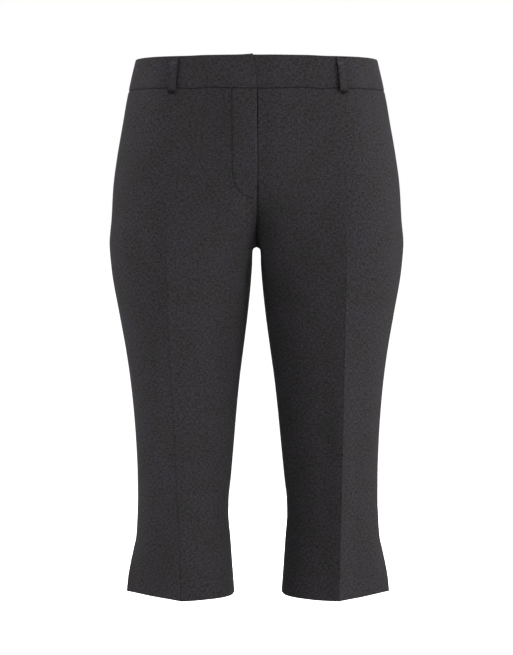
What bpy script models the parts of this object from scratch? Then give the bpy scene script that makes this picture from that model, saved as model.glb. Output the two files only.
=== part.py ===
"""Capri trousers in charcoal suiting, filled out as they are when worn.

Each panel, band, loop and fastening is its own object. The trousers face -Y, +Z is up and +X is
the wearer's left. The origin is the middle of the waist, half way up the waistband. A row of the
tables is a level of the garment: "drop" is how far it lies below the top of the band at the side
seam, and all sizes are in millimetres.
"""

import math

import bmesh
import bpy
from mathutils import Vector

MM = 0.001

# Lengths down the garment.
BAND_HEIGHT = 43.5
CROTCH_DROP = 277.0
VENT_TOP_DROP = 716.0
HEM_DROP = 797.0
ORIGIN_DROP = BAND_HEIGHT / 2

# Thicknesses and clearances.
CLOTH = 1.2
BAND_CLOTH = 1.6
SEAM_GAP = 0.3
HALF_GAP = SEAM_GAP / 2

# The half width to the side seam, as seen from the front.
OUTLINE_COLUMNS = ("drop", "side_x")
OUTLINE = (
    (0, 180.2),
    (43.5, 190.6),
    (92, 199.0),
    (140, 207.5),
    (188, 213.9),
    (236, 216.8),
    (272, 219.8),
    (308, 217.2),
    (380, 205.2),
    (428, 196.8),
    (476, 190.2),
    (524, 185.5),
    (572, 182.4),
    (620, 180.7),
    (656, 180.4),
    (692, 181.5),
    (716, 183.4),
    (728, 186.2),
    (752, 191.6),
    (776, 195.8),
    (797, 197.9),
)

# The inside of each leg: its distance from the middle, and how far back the inseam lies on it.
# Above the crotch the two legs run on into each other, and the middle cuts them off.
INSEAM_COLUMNS = ("drop", "inner_x", "inner_y")
INSEAM = (
    (140, -105, 12.0),
    (188, -66, 12.0),
    (222, -39, 12.0),
    (246, -21, 12.0),
    (263, -8.5, 12.0),
    (273, -2.0, 12.0),
    (277, HALF_GAP, 12.0),
    (278.5, 3.2, 12.1),
    (281, 5.1, 12.3),
    (284, 5.7, 12.5),
    (290, 6.1, 12.8),
    (308, 7.0, 13.0),
    (332, 8.8, 12.6),
    (380, 13.8, 11.4),
    (428, 20.0, 10.0),
    (476, 26.4, 8.8),
    (524, 31.4, 7.8),
    (572, 35.7, 7.0),
    (620, 40.1, 6.4),
    (660, 44.1, 6.0),
    (680, 44.5, 5.8),
    (716, 41.7, 5.4),
    (752, 39.2, 5.2),
    (797, 35.8, 5.0),
)

# The line down the middle of each leg, which is a pressed crease below the hip. "out" is its
# depth from the side seam's plane, "lean" the slope of the cloth there towards the middle, and
# "fold" how sharply the crease is pressed, both in degrees. "full" is how far the cloth runs on
# towards the middle before it turns in to the inseam.
CREASE_COLUMNS = ("drop", "crease_x", "out", "lean", "fold", "full")
FRONT_CREASE = (
    (0, 100, 119, 8, 0, 0.74),
    (43.5, 107, 126, 8, 0, 0.74),
    (92, 112, 130, 7, 0, 0.74),
    (140, 117, 131.5, 5, 0, 0.74),
    (188, 122, 130.5, 3, 1, 0.74),
    (236, 127.5, 127.5, 2, 4, 0.76),
    (285, 131, 122.5, 3, 8.5, 0.74),
    (332, 130.5, 117, 5, 12, 0.7),
    (428, 128, 107, 8, 17, 0.66),
    (524, 125, 98.5, 11, 21, 0.63),
    (620, 122, 92, 14, 25, 0.61),
    (716, 119, 88.5, 16, 28, 0.6),
    (797, 117, 86.5, 18, 30, 0.66),
)
BACK_CREASE = (
    (0, 95, 114, 12, 0, 0.74),
    (43.5, 103, 125, 11, 0, 0.74),
    (92, 110, 140, 9, 0, 0.74),
    (140, 114, 151, 7, 0, 0.74),
    (188, 117, 156, 4, 0, 0.74),
    (236, 118.5, 154, 0, 2, 0.74),
    (285, 119.7, 145, -1, 5, 0.72),
    (332, 120, 136.5, 1, 9, 0.68),
    (428, 119, 123, 4, 14, 0.64),
    (524, 118, 111.5, 7, 18, 0.62),
    (620, 117, 103, 9, 22, 0.6),
    (716, 116.5, 96.5, 11, 26, 0.6),
    (797, 116.3, 92, 13, 29, 0.62),
)

# The middle of the front and of the back above the legs. "sag" is how much lower than its row
# the cloth lies there.
CENTRE_COLUMNS = ("drop", "out", "sag")
FRONT_CENTRE = (
    (0, 126, -0.8),
    (43.5, 133, 3),
    (92, 137.5, 3),
    (140, 139, 3),
    (188, 135, 4),
    (236, 126, 3),
    (278, 110, 0),
)
BACK_CENTRE = (
    (0, 124, -14),
    (43.5, 136, -14),
    (92, 150, -8),
    (140, 160, -2),
    (188, 162, 2),
    (236, 154, 3),
    (278, 140, 0),
)
SAG_ENDS = (0.35, 1.0)
LEGS_PART_ENDS = (150.0, 256.0)
FLAT_FULLNESS = 0.33

# The side vents: how far their corners stand off the side seam's plane at the hem, how flat the
# cloth runs there and how far the flare lifts them. The hem hangs a little lower at the inseam.
VENT_FRONT_SPREAD = 5.0
VENT_BACK_SPREAD = 15.0
VENT_BACK_TUCK = 6.0
VENT_CORNER_TURN = 50.0
VENT_LIFT = 1.7
VENT_LIFT_ENDS = (0.0, 0.35)
INSEAM_DIP = 1.3
INSEAM_DIP_ENDS = (0.6, 1.0)

# The legs hang a little towards the wearer's left, the creases more than the seams.
HEM_SWAY = 2.2
CREASE_SWAY = 3.0

# How full the curve runs from the side seam to the crease.
SIDE_FULLNESS = 0.62

# The arch between the legs: how far above and below it the legs' front and back pass it by, how
# closely it keeps to the inseam, and how softly it meets the legs.
CROTCH_BLEND = 36.0
ARCH_POWER = 8
EDGE_POWER = 12
CROTCH_SOFTNESS = 2.0
JUST_ABOVE = 0.01

# Halvings in a search along a row, and how far about a spot its slope across and down is taken.
BISECTIONS = 30
SLOPE_REACH = (1.0, 2.0)

# Rows of each panel: from, to and how many steps.
PANEL_SPANS = (
    (BAND_HEIGHT, 128, 3),
    (128, 268, 11),
    (268, CROTCH_DROP, 4),
    (CROTCH_DROP, 281, 2),
    (281, 290, 2),
    (290, VENT_TOP_DROP, 12),
    (VENT_TOP_DROP, HEM_DROP, 4),
)
BAND_SPANS = ((0, BAND_HEIGHT, 3),)
SIDE_STEPS = 7
INNER_STEPS = 8
EDGE_CROWDING = 1.35

# The fly: the right front laps over the left, which is set back behind it, and so does the
# right end of the band. The zip lies behind both, and a shield behind the zip.
FLY_SET_BACK = 3.0
FLY_SLOPE_WIDTH = 30.0
FLY_LAP_X = 1.2
FLY_TUCK_X = -7.0
FLY_LAP_ENDS = (150.0, 184.0)
FLY_SET_BACK_ENDS = (184.0, 214.0)
BAND_LAP_TOP_X = -5.5
BAND_LAP_RISE = 1.2
UNDERLAP_WIDTH = 38.0
UNDERLAP_STEPS = 4

ZIP_X = (-22.0, 4.0)
ZIP_THICKNESS = 1.0
ZIP_DROPS = (BAND_HEIGHT + 4.5, 186.0)
SHIELD_X = (-36.0, 9.0)
SHIELD_DROPS = (BAND_HEIGHT + 5.5, 190.0)
FASTENING_STEPS = 12

HOOK_SIZE = (12.0, 9.0)
HOOK_X = -27.0
BAR_SIZE = (4.0, 12.0)
BAR_X = -16.5
PLATE = 0.8
PLATE_DROP = 20.0

# The belt loops. Each row of the table is a loop's name, the face it is sewn to, and where its
# middle lies across that face at the top and the bottom end.
LOOP_WIDTH = 9.6
LOOP_TOP_DROP = 1.0
LOOP_BOTTOM_DROP = 50.0
LOOP_CLOTH = 1.3
LOOP_END_LENGTH = 6.0
LOOP_RAISED_FROM = 13.0
LOOP_STAND_OFF = 2.9
LOOP_TIP_SHARE = 0.75
LOOP_TIP_LENGTH = 1.5
LOOP_STEPS = 18
LOOPS = (
    ("loop_front_right", "front", -118.5, -122.5),
    ("loop_front_left", "front", 118.5, 123.5),
    ("loop_back_right", "back", -96.0, -99.0),
    ("loop_back_centre", "back", 0.0, 0.0),
    ("loop_back_left", "back", 96.0, 99.0),
)

# Finishes: colour, roughness and metallic value.
SUITING = ((0.036, 0.035, 0.037), 0.9, 0.0)
ZIP_TAPE = ((0.02, 0.02, 0.021), 0.8, 0.0)
STEEL = ((0.55, 0.55, 0.56), 0.35, 1.0)


def column(table, names, key, drop):
    """A column's value at a drop, on a smooth curve through the rows that never overshoots."""
    levels = [row[0] for row in table]
    values = [row[names.index(key)] for row in table]
    if drop <= levels[0]:
        return values[0]
    if drop >= levels[-1]:
        return values[-1]
    i = next(n for n in range(len(levels) - 1) if drop <= levels[n + 1])
    step = levels[i + 1] - levels[i]
    t = (drop - levels[i]) / step
    start, end = slope(levels, values, i), slope(levels, values, i + 1)
    return (
        values[i] * (1 + 2 * t) * (1 - t) ** 2
        + values[i + 1] * t * t * (3 - 2 * t)
        + start * step * t * (1 - t) ** 2
        - end * step * t * t * (1 - t)
    )


def slope(levels, values, i):
    """The curve's slope at a row: the harmonic mean of its neighbours' slopes, or 0 at a peak."""
    before = after = None
    if i > 0:
        before = (values[i] - values[i - 1]) / (levels[i] - levels[i - 1])
    if i < len(levels) - 1:
        after = (values[i + 1] - values[i]) / (levels[i + 1] - levels[i])
    if before is None or after is None:
        return after if before is None else before
    if before * after <= 0:
        return 0.0
    return 2 * before * after / (before + after)


def ease(x, start, end):
    """0 up to start, 1 from end on, and smooth between them."""
    t = min(1.0, max(0.0, (x - start) / (end - start)))
    return t * t * (3 - 2 * t)


def soft_max(a, b, width):
    """The larger of two values, with a rounded change from one to the other."""
    overlap = max(0.0, width - abs(a - b)) / width
    return max(a, b) + overlap * overlap * width / 4


def bezier(a, b, c, d, t):
    s = 1 - t
    return a * s**3 + b * (3 * s * s * t) + c * (3 * s * t * t) + d * t**3


def heading(degrees):
    """A direction in plan: 0 runs to the middle, 90 outwards from the side seam's plane."""
    angle = math.radians(degrees)
    return Vector((-math.cos(angle), math.sin(angle)))


def inseam(drop, key):
    return column(INSEAM, INSEAM_COLUMNS, key, drop)


def leg_point(curve, arch, t):
    """A point of a leg's inner curve, whose end alone follows the arch of the crotch."""
    return bezier(*curve, t) + Vector((arch * t**ARCH_POWER, 0))


def middle_crossing(curve, arch):
    """How far along that curve it meets the middle, or 1 if it stays clear."""
    if leg_point(curve, arch, 1).x >= HALF_GAP:
        return 1.0
    low, high = 0.0, 1.0
    for _ in range(BISECTIONS):
        middle = (low + high) / 2
        if leg_point(curve, arch, middle).x > HALF_GAP:
            low = middle
        else:
            high = middle
    return (low + high) / 2


class Face:
    """The front or the back of the trousers, as a surface over the wearer's left half."""

    def __init__(self, sign, crease, centre, vent_spread, vent_tuck):
        self.sign = sign  # -1 faces -Y
        self.crease_rows = crease
        self.centre_rows = centre
        self.vent_spread = vent_spread
        self.vent_tuck = vent_tuck

    def crease(self, drop, key):
        return column(self.crease_rows, CREASE_COLUMNS, key, drop)

    def centre(self, drop, key):
        return column(self.centre_rows, CENTRE_COLUMNS, key, drop)

    def outer_part(self, drop, t):
        """From the side seam to the crease."""
        vent = max(0.0, drop - VENT_TOP_DROP) / (HEM_DROP - VENT_TOP_DROP)
        side_x = column(OUTLINE, OUTLINE_COLUMNS, "side_x", drop) - self.vent_tuck * vent
        side = Vector((side_x, HALF_GAP + self.vent_spread * vent))
        crease = Vector((self.crease(drop, "crease_x"), self.crease(drop, "out")))
        side_turn = 90 - (90 - VENT_CORNER_TURN) * ease(vent, 0, 1)
        crease_turn = self.crease(drop, "lean") + self.crease(drop, "fold")
        return bezier(
            side,
            side + heading(side_turn) * (SIDE_FULLNESS * (crease.y - side.y)),
            crease - heading(crease_turn) * (SIDE_FULLNESS * (side.x - crease.x)),
            crease,
            t,
        )

    def leg_curve(self, drop):
        """The curve from the crease to the inseam, and how far its end is off the leg's own line."""
        crease = Vector((self.crease(drop, "crease_x"), self.crease(drop, "out")))
        steps_near = (-CROTCH_BLEND, -CROTCH_BLEND / 2, 0, CROTCH_BLEND / 2, CROTCH_BLEND)
        near = [inseam(drop + step, "inner_x") for step in steps_near]
        inner = Vector((sum(near) / len(near), self.sign * inseam(drop, "inner_y") + HALF_GAP))
        full = self.crease(drop, "full")
        curve = (
            crease,
            crease + self.pressed(drop) * (full * (crease.x - inner.x)),
            inner + Vector((0, full * (crease.y - inner.y))),
            inner,
        )
        return curve, inseam(drop, "inner_x") - inner.x

    def pressed(self, drop):
        """The cloth's direction from the crease towards the middle."""
        return heading(self.crease(drop, "lean") - self.crease(drop, "fold"))

    def leg_spot(self, drop, t):
        """The leg's inner part. Above the crotch it ends at the middle, below it at the inseam."""
        curve, arch = self.leg_curve(drop)
        if drop < CROTCH_DROP:
            return leg_point(curve, arch, t * middle_crossing(curve, arch))
        met = middle_crossing(*self.leg_curve(CROTCH_DROP - JUST_ABOVE))
        met += (1 - met) * ease(drop, CROTCH_DROP, CROTCH_DROP + 2 * CROTCH_BLEND)
        spot = leg_point(curve, arch, met * t + (1 - met) * t**EDGE_POWER)
        spot.x = soft_max(spot.x, inseam(drop, "inner_x"), CROTCH_SOFTNESS)
        return spot

    def inner_part(self, drop, t):
        """From the crease to the inseam, or to the middle where the legs have not parted."""
        parted = ease(drop, *LEGS_PART_ENDS)
        plan = Vector((0, 0))
        if parted < 1:
            crease = Vector((self.crease(drop, "crease_x"), self.crease(drop, "out")))
            centre = Vector((HALF_GAP, self.centre(drop, "out")))
            reach = FLAT_FULLNESS * (crease.x - centre.x)
            handles = crease + self.pressed(drop) * reach, centre + Vector((reach, 0))
            plan += bezier(crease, *handles, centre, t) * (1 - parted)
        if parted > 0:
            plan += self.leg_spot(drop, t) * parted
        return plan

    def place(self, drop, u, side=1):
        """The outer surface at u, from 0 at the side seam, by 0.5 at the crease, to 1 inside."""
        plan = self.outer_part(drop, 2 * u) if u <= 0.5 else self.inner_part(drop, 2 * u - 1)
        level = drop + self.centre(drop, "sag") * ease(u, *SAG_ENDS)
        at_hem = ease(drop, VENT_TOP_DROP, HEM_DROP)
        level += at_hem * INSEAM_DIP * ease(u, *INSEAM_DIP_ENDS)
        level -= at_hem * VENT_LIFT * (1 - ease(u, *VENT_LIFT_ENDS))
        hang = ease(drop, CROTCH_DROP, HEM_DROP)
        sway = hang * (HEM_SWAY + CREASE_SWAY * (1 - abs(2 * u - 1)))
        return Vector((side * plan.x + sway, self.sign * plan.y, ORIGIN_DROP - level))

    def across(self, drop, x):
        """The u at which a row passes a half width x."""
        low, high = 0.0, 1.0
        for _ in range(BISECTIONS):
            middle = (low + high) / 2
            if self.place(drop, middle).x > x:
                low = middle
            else:
                high = middle
        return (low + high) / 2

    def spot(self, drop, x):
        """The outer surface where a row passes x, on either side of the middle."""
        return self.place(drop, self.across(drop, abs(x)), 1 if x >= 0 else -1)

    def outward(self, drop, x):
        """The direction out of the cloth there."""
        ahead, down = SLOPE_REACH
        along = self.spot(drop, x + ahead) - self.spot(drop, x - ahead)
        below = self.spot(drop + down, x) - self.spot(drop - down, x)
        normal = along.cross(below).normalized()
        return normal if normal.y * self.sign > 0 else -normal


FRONT = Face(-1, FRONT_CREASE, FRONT_CENTRE, VENT_FRONT_SPREAD, 0.0)
BACK = Face(1, BACK_CREASE, BACK_CENTRE, VENT_BACK_SPREAD, VENT_BACK_TUCK)
FACES = {"front": FRONT, "back": BACK}


def steps(spans):
    """Every level of the spans, each shared end once."""
    levels = [spans[0][0]]
    for start, end, count in spans:
        levels += [start + (end - start) * n / count for n in range(1, count + 1)]
    return levels


def u_steps():
    """The columns of a panel, from the side seam over the crease to the inner edge.

    They lie closer together towards both edges, where the cloth turns to meet its neighbour.
    """
    outer = [0.5 * (n / SIDE_STEPS) ** EDGE_CROWDING for n in range(SIDE_STEPS)]
    inner = [1 - 0.5 * (n / INNER_STEPS) ** EDGE_CROWDING for n in range(INNER_STEPS, -1, -1)]
    return outer + inner


def material(name, colour, roughness, metallic):
    made = bpy.data.materials.new(name)
    made.use_nodes = True
    shader = made.node_tree.nodes["Principled BSDF"]
    shader.inputs["Base Color"].default_value = (*colour, 1)
    shader.inputs["Roughness"].default_value = roughness
    shader.inputs["Metallic"].default_value = metallic
    return made


def cloth(name, rows, thickness, finish, outwards, thinning=None):
    """A wall whose outer face passes through a grid of points, rows by columns.

    outwards is a direction that points out of the wall at the middle of the grid, and thinning
    gives each row's share of the thickness.
    """
    high, wide = len(rows), len(rows[0])
    bm = bmesh.new()
    bmesh.ops.create_grid(bm, x_segments=wide - 1, y_segments=high - 1, size=1)
    bm.verts.ensure_lookup_table()
    order = sorted(bm.verts, key=lambda v: (round(-v.co.y, 4), round(v.co.x, 4)))
    for n, vertex in enumerate(order):
        vertex.co = rows[n // wide][n % wide] * MM
    bm.verts.index_update()
    row_of = {v.index: n // wide for n, v in enumerate(order)}
    bm.normal_update()
    middle = order[(high // 2) * wide + wide // 2]
    if middle.normal.dot(outwards) < 0:
        bmesh.ops.reverse_faces(bm, faces=bm.faces)
    mesh = bpy.data.meshes.new(name)
    bm.to_mesh(mesh)
    bm.free()
    mesh.materials.append(material(name, *finish))
    mesh.shade_smooth()
    obj = bpy.data.objects.new(name, mesh)
    bpy.data.collections["capri_trousers"].objects.link(obj)
    wall = obj.modifiers.new("wall", "SOLIDIFY")
    wall.thickness = thickness * MM
    wall.offset = -1
    wall.use_even_offset = True
    if thinning:
        group = obj.vertex_groups.new(name="thickness")
        for index, row in row_of.items():
            group.add([index], thinning[row], "REPLACE")
        wall.vertex_group = group.name
    return obj


def near_fly(x):
    """1 at the middle of the front, fading to 0 where the left front meets its surface again."""
    return 1 - ease(x, FLY_LAP_X, FLY_SLOPE_WIDTH)


def fly_row(drop, side):
    """A row of a front panel, whose edge runs on to lap over the other side or under it."""
    lapped = 1 - ease(drop, *FLY_LAP_ENDS)
    set_back = FLY_SET_BACK * (1 - ease(drop, *FLY_SET_BACK_ENDS))
    row = []
    for u in u_steps():
        x = FRONT.place(drop, u).x
        if side > 0:
            x += (FLY_TUCK_X - HALF_GAP) * near_fly(x) * lapped
            spot = FRONT.spot(drop, x)
            spot.y += set_back * near_fly(spot.x)
        else:
            spot = FRONT.spot(drop, -x + (FLY_LAP_X + HALF_GAP) * near_fly(x) * lapped)
        row.append(spot)
    return row


def panels():
    for face_name, face in FACES.items():
        for side_name, side in (("left", 1), ("right", -1)):
            rows = []
            for drop in steps(PANEL_SPANS):
                if face_name == "front" and drop < FLY_SET_BACK_ENDS[1]:
                    rows.append(fly_row(drop, side))
                else:
                    rows.append([face.place(drop, u, side) for u in u_steps()])
            rows[0] = [spot - Vector((0, 0, SEAM_GAP)) for spot in rows[0]]
            name = f"{face_name}_{side_name}"
            cloth(name, rows, CLOTH, SUITING, Vector((0, face.sign, 0)))


def waistband():
    """The back is one piece from side to side, and the two front ends lap at the middle."""
    levels = steps(BAND_SPANS)
    back = [
        [BACK.place(drop, u, -1) for u in u_steps()]
        + [BACK.place(drop, u, 1) for u in reversed(u_steps()[:-1])]
        for drop in levels
    ]
    cloth("waistband_back", back, BAND_CLOTH, SUITING, Vector((0, 1, 0)))
    right, left = [], []
    for drop in levels:
        share = drop / BAND_HEIGHT
        row = [FRONT.place(drop, u, -1) for u in u_steps()[:-1]]
        row.append(FRONT.spot(drop, BAND_LAP_TOP_X + (FLY_LAP_X - BAND_LAP_TOP_X) * share))
        for spot in row:
            spot.z += BAND_LAP_RISE * (1 - share) * near_fly(-spot.x)
        right.append(row)
        row = [FRONT.place(drop, u, 1) for u in u_steps()[:-1]]
        row += [
            FRONT.spot(drop, -UNDERLAP_WIDTH * n / UNDERLAP_STEPS)
            for n in range(UNDERLAP_STEPS + 1)
        ]
        for spot in row:
            spot.y += FLY_SET_BACK * near_fly(spot.x)
        left.append(row)
    cloth("waistband_right", right, BAND_CLOTH, SUITING, Vector((0, -1, 0)))
    cloth("waistband_left", left, BAND_CLOTH, SUITING, Vector((0, -1, 0)))


def patch(name, face, x_range, drops, depth, thickness, finish, x_steps=4):
    """A flat piece that follows the cloth, its outer face a depth below the surface."""
    rows = [
        [
            face.spot(drop, x) - face.outward(drop, x) * depth
            for x in (
                x_range[0] + (x_range[1] - x_range[0]) * n / x_steps
                for n in range(x_steps + 1)
            )
        ]
        for drop in drops
    ]
    cloth(name, rows, thickness, finish, Vector((0, face.sign, 0)))


def fastenings():
    """The closed zip and its shield behind the fly, and the hook and bar between the band's ends."""
    behind_left = FLY_SET_BACK + CLOTH + SEAM_GAP
    behind_zip = behind_left + ZIP_THICKNESS + SEAM_GAP
    for name, x_range, (top, end), depth, thickness, finish in (
        ("fly_zip", ZIP_X, ZIP_DROPS, behind_left, ZIP_THICKNESS, ZIP_TAPE),
        ("fly_shield", SHIELD_X, SHIELD_DROPS, behind_zip, CLOTH, SUITING),
    ):
        drops = [top + (end - top) * n / FASTENING_STEPS for n in range(FASTENING_STEPS + 1)]
        patch(name, FRONT, x_range, drops, depth, thickness, finish)
    behind_band = BAND_CLOTH + SEAM_GAP
    for name, centre, size in (("waist_hook", HOOK_X, HOOK_SIZE), ("waist_bar", BAR_X, BAR_SIZE)):
        patch(
            name,
            FRONT,
            (centre - size[0] / 2, centre + size[0] / 2),
            [PLATE_DROP - size[1] / 2, PLATE_DROP + size[1] / 2],
            behind_band,
            PLATE,
            STEEL,
            x_steps=2,
        )


def loop_profile(length):
    """How far a loop's outer face stands from the band, and its share of the end's thickness.

    The ends are folded under and sewn down, so they are two cloths thick.
    """
    folded = 2 * LOOP_CLOTH
    from_end = min(length, LOOP_BOTTOM_DROP - LOOP_TOP_DROP - length)
    raised = ease(from_end, LOOP_END_LENGTH, LOOP_RAISED_FROM)
    tip = LOOP_TIP_SHARE + (1 - LOOP_TIP_SHARE) * ease(from_end, 0, LOOP_TIP_LENGTH)
    thickness = folded * tip + (LOOP_CLOTH - folded * tip) * raised
    return SEAM_GAP + LOOP_STAND_OFF * raised + thickness, thickness / folded


def belt_loops():
    for name, face_name, top_x, bottom_x in LOOPS:
        face = FACES[face_name]
        rows, shares = [], []
        for n in range(LOOP_STEPS + 1):
            length = (LOOP_BOTTOM_DROP - LOOP_TOP_DROP) * n / LOOP_STEPS
            drop = LOOP_TOP_DROP + length
            height, share = loop_profile(length)
            shares.append(share)
            x = top_x + (bottom_x - top_x) * n / LOOP_STEPS
            out = face.outward(drop, x) * height
            rows.append(
                [face.spot(drop, x + across) + out for across in (-LOOP_WIDTH / 2, 0, LOOP_WIDTH / 2)]
            )
        cloth(name, rows, 2 * LOOP_CLOTH, SUITING, Vector((0, face.sign, 0)), shares)


def main():
    for obj in list(bpy.data.objects):
        bpy.data.objects.remove(obj)
    collection = bpy.data.collections.new("capri_trousers")
    bpy.context.scene.collection.children.link(collection)
    panels()
    waistband()
    fastenings()
    belt_loops()


main()
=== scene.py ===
"""Capri trousers in charcoal suiting, filled out as they are when worn: the looks round the solids.

Each solid is replaced by a piece of cloth on the same form, finer and with its seams, pressed
creases, soft folds, turned edges and stitches. The trousers face -Y, +Z is up and +X is the
wearer's left. A row of the tables is a level of the garment: "drop" is how far it lies below the
top of the band at the side seam. Sizes are in millimetres unless a comment says otherwise.
"""

import math
from types import SimpleNamespace

import bpy
import numpy as np
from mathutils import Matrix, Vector


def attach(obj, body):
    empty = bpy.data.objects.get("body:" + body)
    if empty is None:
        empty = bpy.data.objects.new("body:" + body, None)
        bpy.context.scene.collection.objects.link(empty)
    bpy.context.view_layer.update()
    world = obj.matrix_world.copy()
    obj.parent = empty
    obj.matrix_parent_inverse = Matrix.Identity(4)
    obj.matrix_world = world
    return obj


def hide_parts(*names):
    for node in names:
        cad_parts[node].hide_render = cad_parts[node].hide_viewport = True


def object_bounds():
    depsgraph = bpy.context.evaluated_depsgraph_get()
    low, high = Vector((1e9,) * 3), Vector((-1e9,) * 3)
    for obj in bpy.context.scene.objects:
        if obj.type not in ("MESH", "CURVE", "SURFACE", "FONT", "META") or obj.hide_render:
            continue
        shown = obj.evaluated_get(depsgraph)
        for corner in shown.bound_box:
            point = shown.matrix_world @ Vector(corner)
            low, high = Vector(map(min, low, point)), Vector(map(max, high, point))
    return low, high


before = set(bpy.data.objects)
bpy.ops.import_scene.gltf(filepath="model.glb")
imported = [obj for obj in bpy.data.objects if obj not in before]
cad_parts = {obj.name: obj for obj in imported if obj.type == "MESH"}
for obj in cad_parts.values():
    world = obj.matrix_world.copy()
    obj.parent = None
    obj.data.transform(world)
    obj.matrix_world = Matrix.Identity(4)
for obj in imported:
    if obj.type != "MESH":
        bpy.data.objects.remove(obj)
CAD_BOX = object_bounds()

MM = 0.001

# -------- The form, close to the solids'

BAND_HEIGHT = 43.5
CROTCH_DROP = 277.0
VENT_TOP_DROP = 716.0
HEM_DROP = 797.0
ORIGIN_DROP = BAND_HEIGHT / 2

CLOTH = 1.2
BAND_CLOTH = 1.6
LOOP_CLOTH = 1.2
SEAM_GAP = 0.3
HALF_GAP = SEAM_GAP / 2

# The half width to the side seam, as seen from the front.
OUTLINE_COLUMNS = ("drop", "side_x")
OUTLINE = (
    (0, 180.2),
    (43.5, 190.6),
    (92, 199.0),
    (140, 207.5),
    (188, 213.9),
    (236, 216.8),
    (272, 219.8),
    (308, 217.2),
    (380, 205.2),
    (428, 196.8),
    (476, 190.2),
    (524, 185.5),
    (572, 182.4),
    (620, 180.7),
    (656, 180.4),
    (692, 181.5),
    (716, 183.4),
    (728, 186.2),
    (752, 191.6),
    (776, 195.8),
    (797, 197.9),
)

# The inside of each leg: its distance from the middle, and how far back the inseam lies on it.
# Above the crotch the two legs run on into each other, and the middle cuts them off.
INSEAM_COLUMNS = ("drop", "inner_x", "inner_y")
INSEAM = (
    (140, -105, 12.0),
    (188, -66, 12.0),
    (222, -39, 12.0),
    (246, -21, 12.0),
    (263, -8.5, 12.0),
    (273, -2.0, 12.0),
    (277, HALF_GAP, 12.0),
    (278.5, 3.2, 12.1),
    (281, 5.1, 12.3),
    (284, 5.7, 12.5),
    (290, 6.1, 12.8),
    (308, 7.0, 13.0),
    (332, 8.8, 12.6),
    (380, 13.8, 11.4),
    (428, 20.0, 10.0),
    (476, 26.4, 8.8),
    (524, 31.4, 7.8),
    (572, 35.7, 7.0),
    (620, 40.1, 6.4),
    (660, 44.1, 6.0),
    (680, 44.5, 5.8),
    (716, 41.7, 5.4),
    (752, 39.2, 5.2),
    (797, 35.8, 5.0),
)

# The line down the middle of each leg, which is a pressed crease below the hip. "out" is its
# depth from the side seam's plane, "lean" the slope of the cloth there towards the middle, and
# "fold" how sharply the crease is pressed, both in degrees. "full" is how far the cloth runs on
# towards the middle before it turns in to the inseam.
CREASE_COLUMNS = ("drop", "crease_x", "out", "lean", "fold", "full")
FRONT_CREASE = (
    (0, 100, 119, 8, 0, 0.74),
    (43.5, 107, 126, 8, 0, 0.74),
    (92, 112, 130, 7, 0, 0.74),
    (140, 117, 131.5, 5, 0, 0.74),
    (188, 122, 130.5, 3, 1, 0.74),
    (236, 127.5, 127.5, 2, 4, 0.76),
    (285, 131, 122.5, 3, 8.5, 0.74),
    (332, 130.5, 117, 5, 12, 0.7),
    (428, 128, 107, 8, 17, 0.66),
    (524, 125, 98.5, 11, 21, 0.63),
    (620, 122, 92, 14, 25, 0.61),
    (716, 119, 88.5, 16, 28, 0.6),
    (797, 117, 86.5, 18, 30, 0.72),
)
BACK_CREASE = (
    (0, 95, 114, 12, 0, 0.74),
    (43.5, 103, 125, 11, 0, 0.74),
    (92, 110, 140, 9, 0, 0.74),
    (140, 114, 151, 7, 0, 0.74),
    (188, 117, 156, 4, 0, 0.74),
    (236, 118.5, 154, 0, 2, 0.74),
    (285, 119.7, 145, -1, 5, 0.72),
    (332, 120, 136.5, 1, 9, 0.68),
    (428, 119, 123, 4, 14, 0.64),
    (524, 118, 111.5, 7, 18, 0.62),
    (620, 117, 103, 9, 22, 0.6),
    (716, 116.5, 96.5, 11, 26, 0.6),
    (797, 116.3, 92, 13, 29, 0.62),
)

# The middle of the front and of the back above the legs. "sag" is how much lower than its row
# the cloth lies there.
CENTRE_COLUMNS = ("drop", "out", "sag")
FRONT_CENTRE = (
    (0, 126, -0.8),
    (43.5, 133, 3),
    (92, 137.5, 3),
    (140, 139, 3),
    (188, 135, 4),
    (236, 126, 3),
    (278, 110, 0),
)
BACK_CENTRE = (
    (0, 124, -14),
    (43.5, 136, -14),
    (92, 150, -8),
    (140, 160, -2),
    (188, 162, 2),
    (236, 154, 3),
    (278, 140, 0),
)
SAG_ENDS = (0.35, 1.0)
LEGS_PART_ENDS = (150.0, 256.0)
FLAT_FULLNESS = 0.33

# The side vents: how far their corners stand off the side seam's plane at the hem, how flat the
# cloth runs there and how far the flare lifts them. The hem hangs a little lower at the inseam.
VENT_FRONT_SPREAD = 5.0
VENT_BACK_SPREAD = 15.0
VENT_BACK_TUCK = 6.0
VENT_CORNER_TURN = 50.0
VENT_LIFT = 1.7
VENT_LIFT_ENDS = (0.0, 0.35)
INSEAM_DIP = 1.6
INSEAM_DIP_ENDS = (0.78, 1.0)

# The legs hang a little towards the wearer's left, the creases more than the seams.
HEM_SWAY = 2.2
CREASE_SWAY = 3.0

# How full the curve runs from the side seam to the crease.
SIDE_FULLNESS = 0.62

# The arch between the legs: how far above and below it the legs' front and back pass it by, how
# closely it keeps to the inseam, and how softly it meets the legs.
CROTCH_BLEND = 36.0
BLEND_SHARES = (-1, -0.5, 0, 0.5, 1)
BELOW_CROTCH = (CROTCH_DROP, CROTCH_DROP + 2 * CROTCH_BLEND)
ARCH_POWER = 8
EDGE_POWER = 12
CROTCH_SOFTNESS = 2.0
JUST_ABOVE = 0.01

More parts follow.
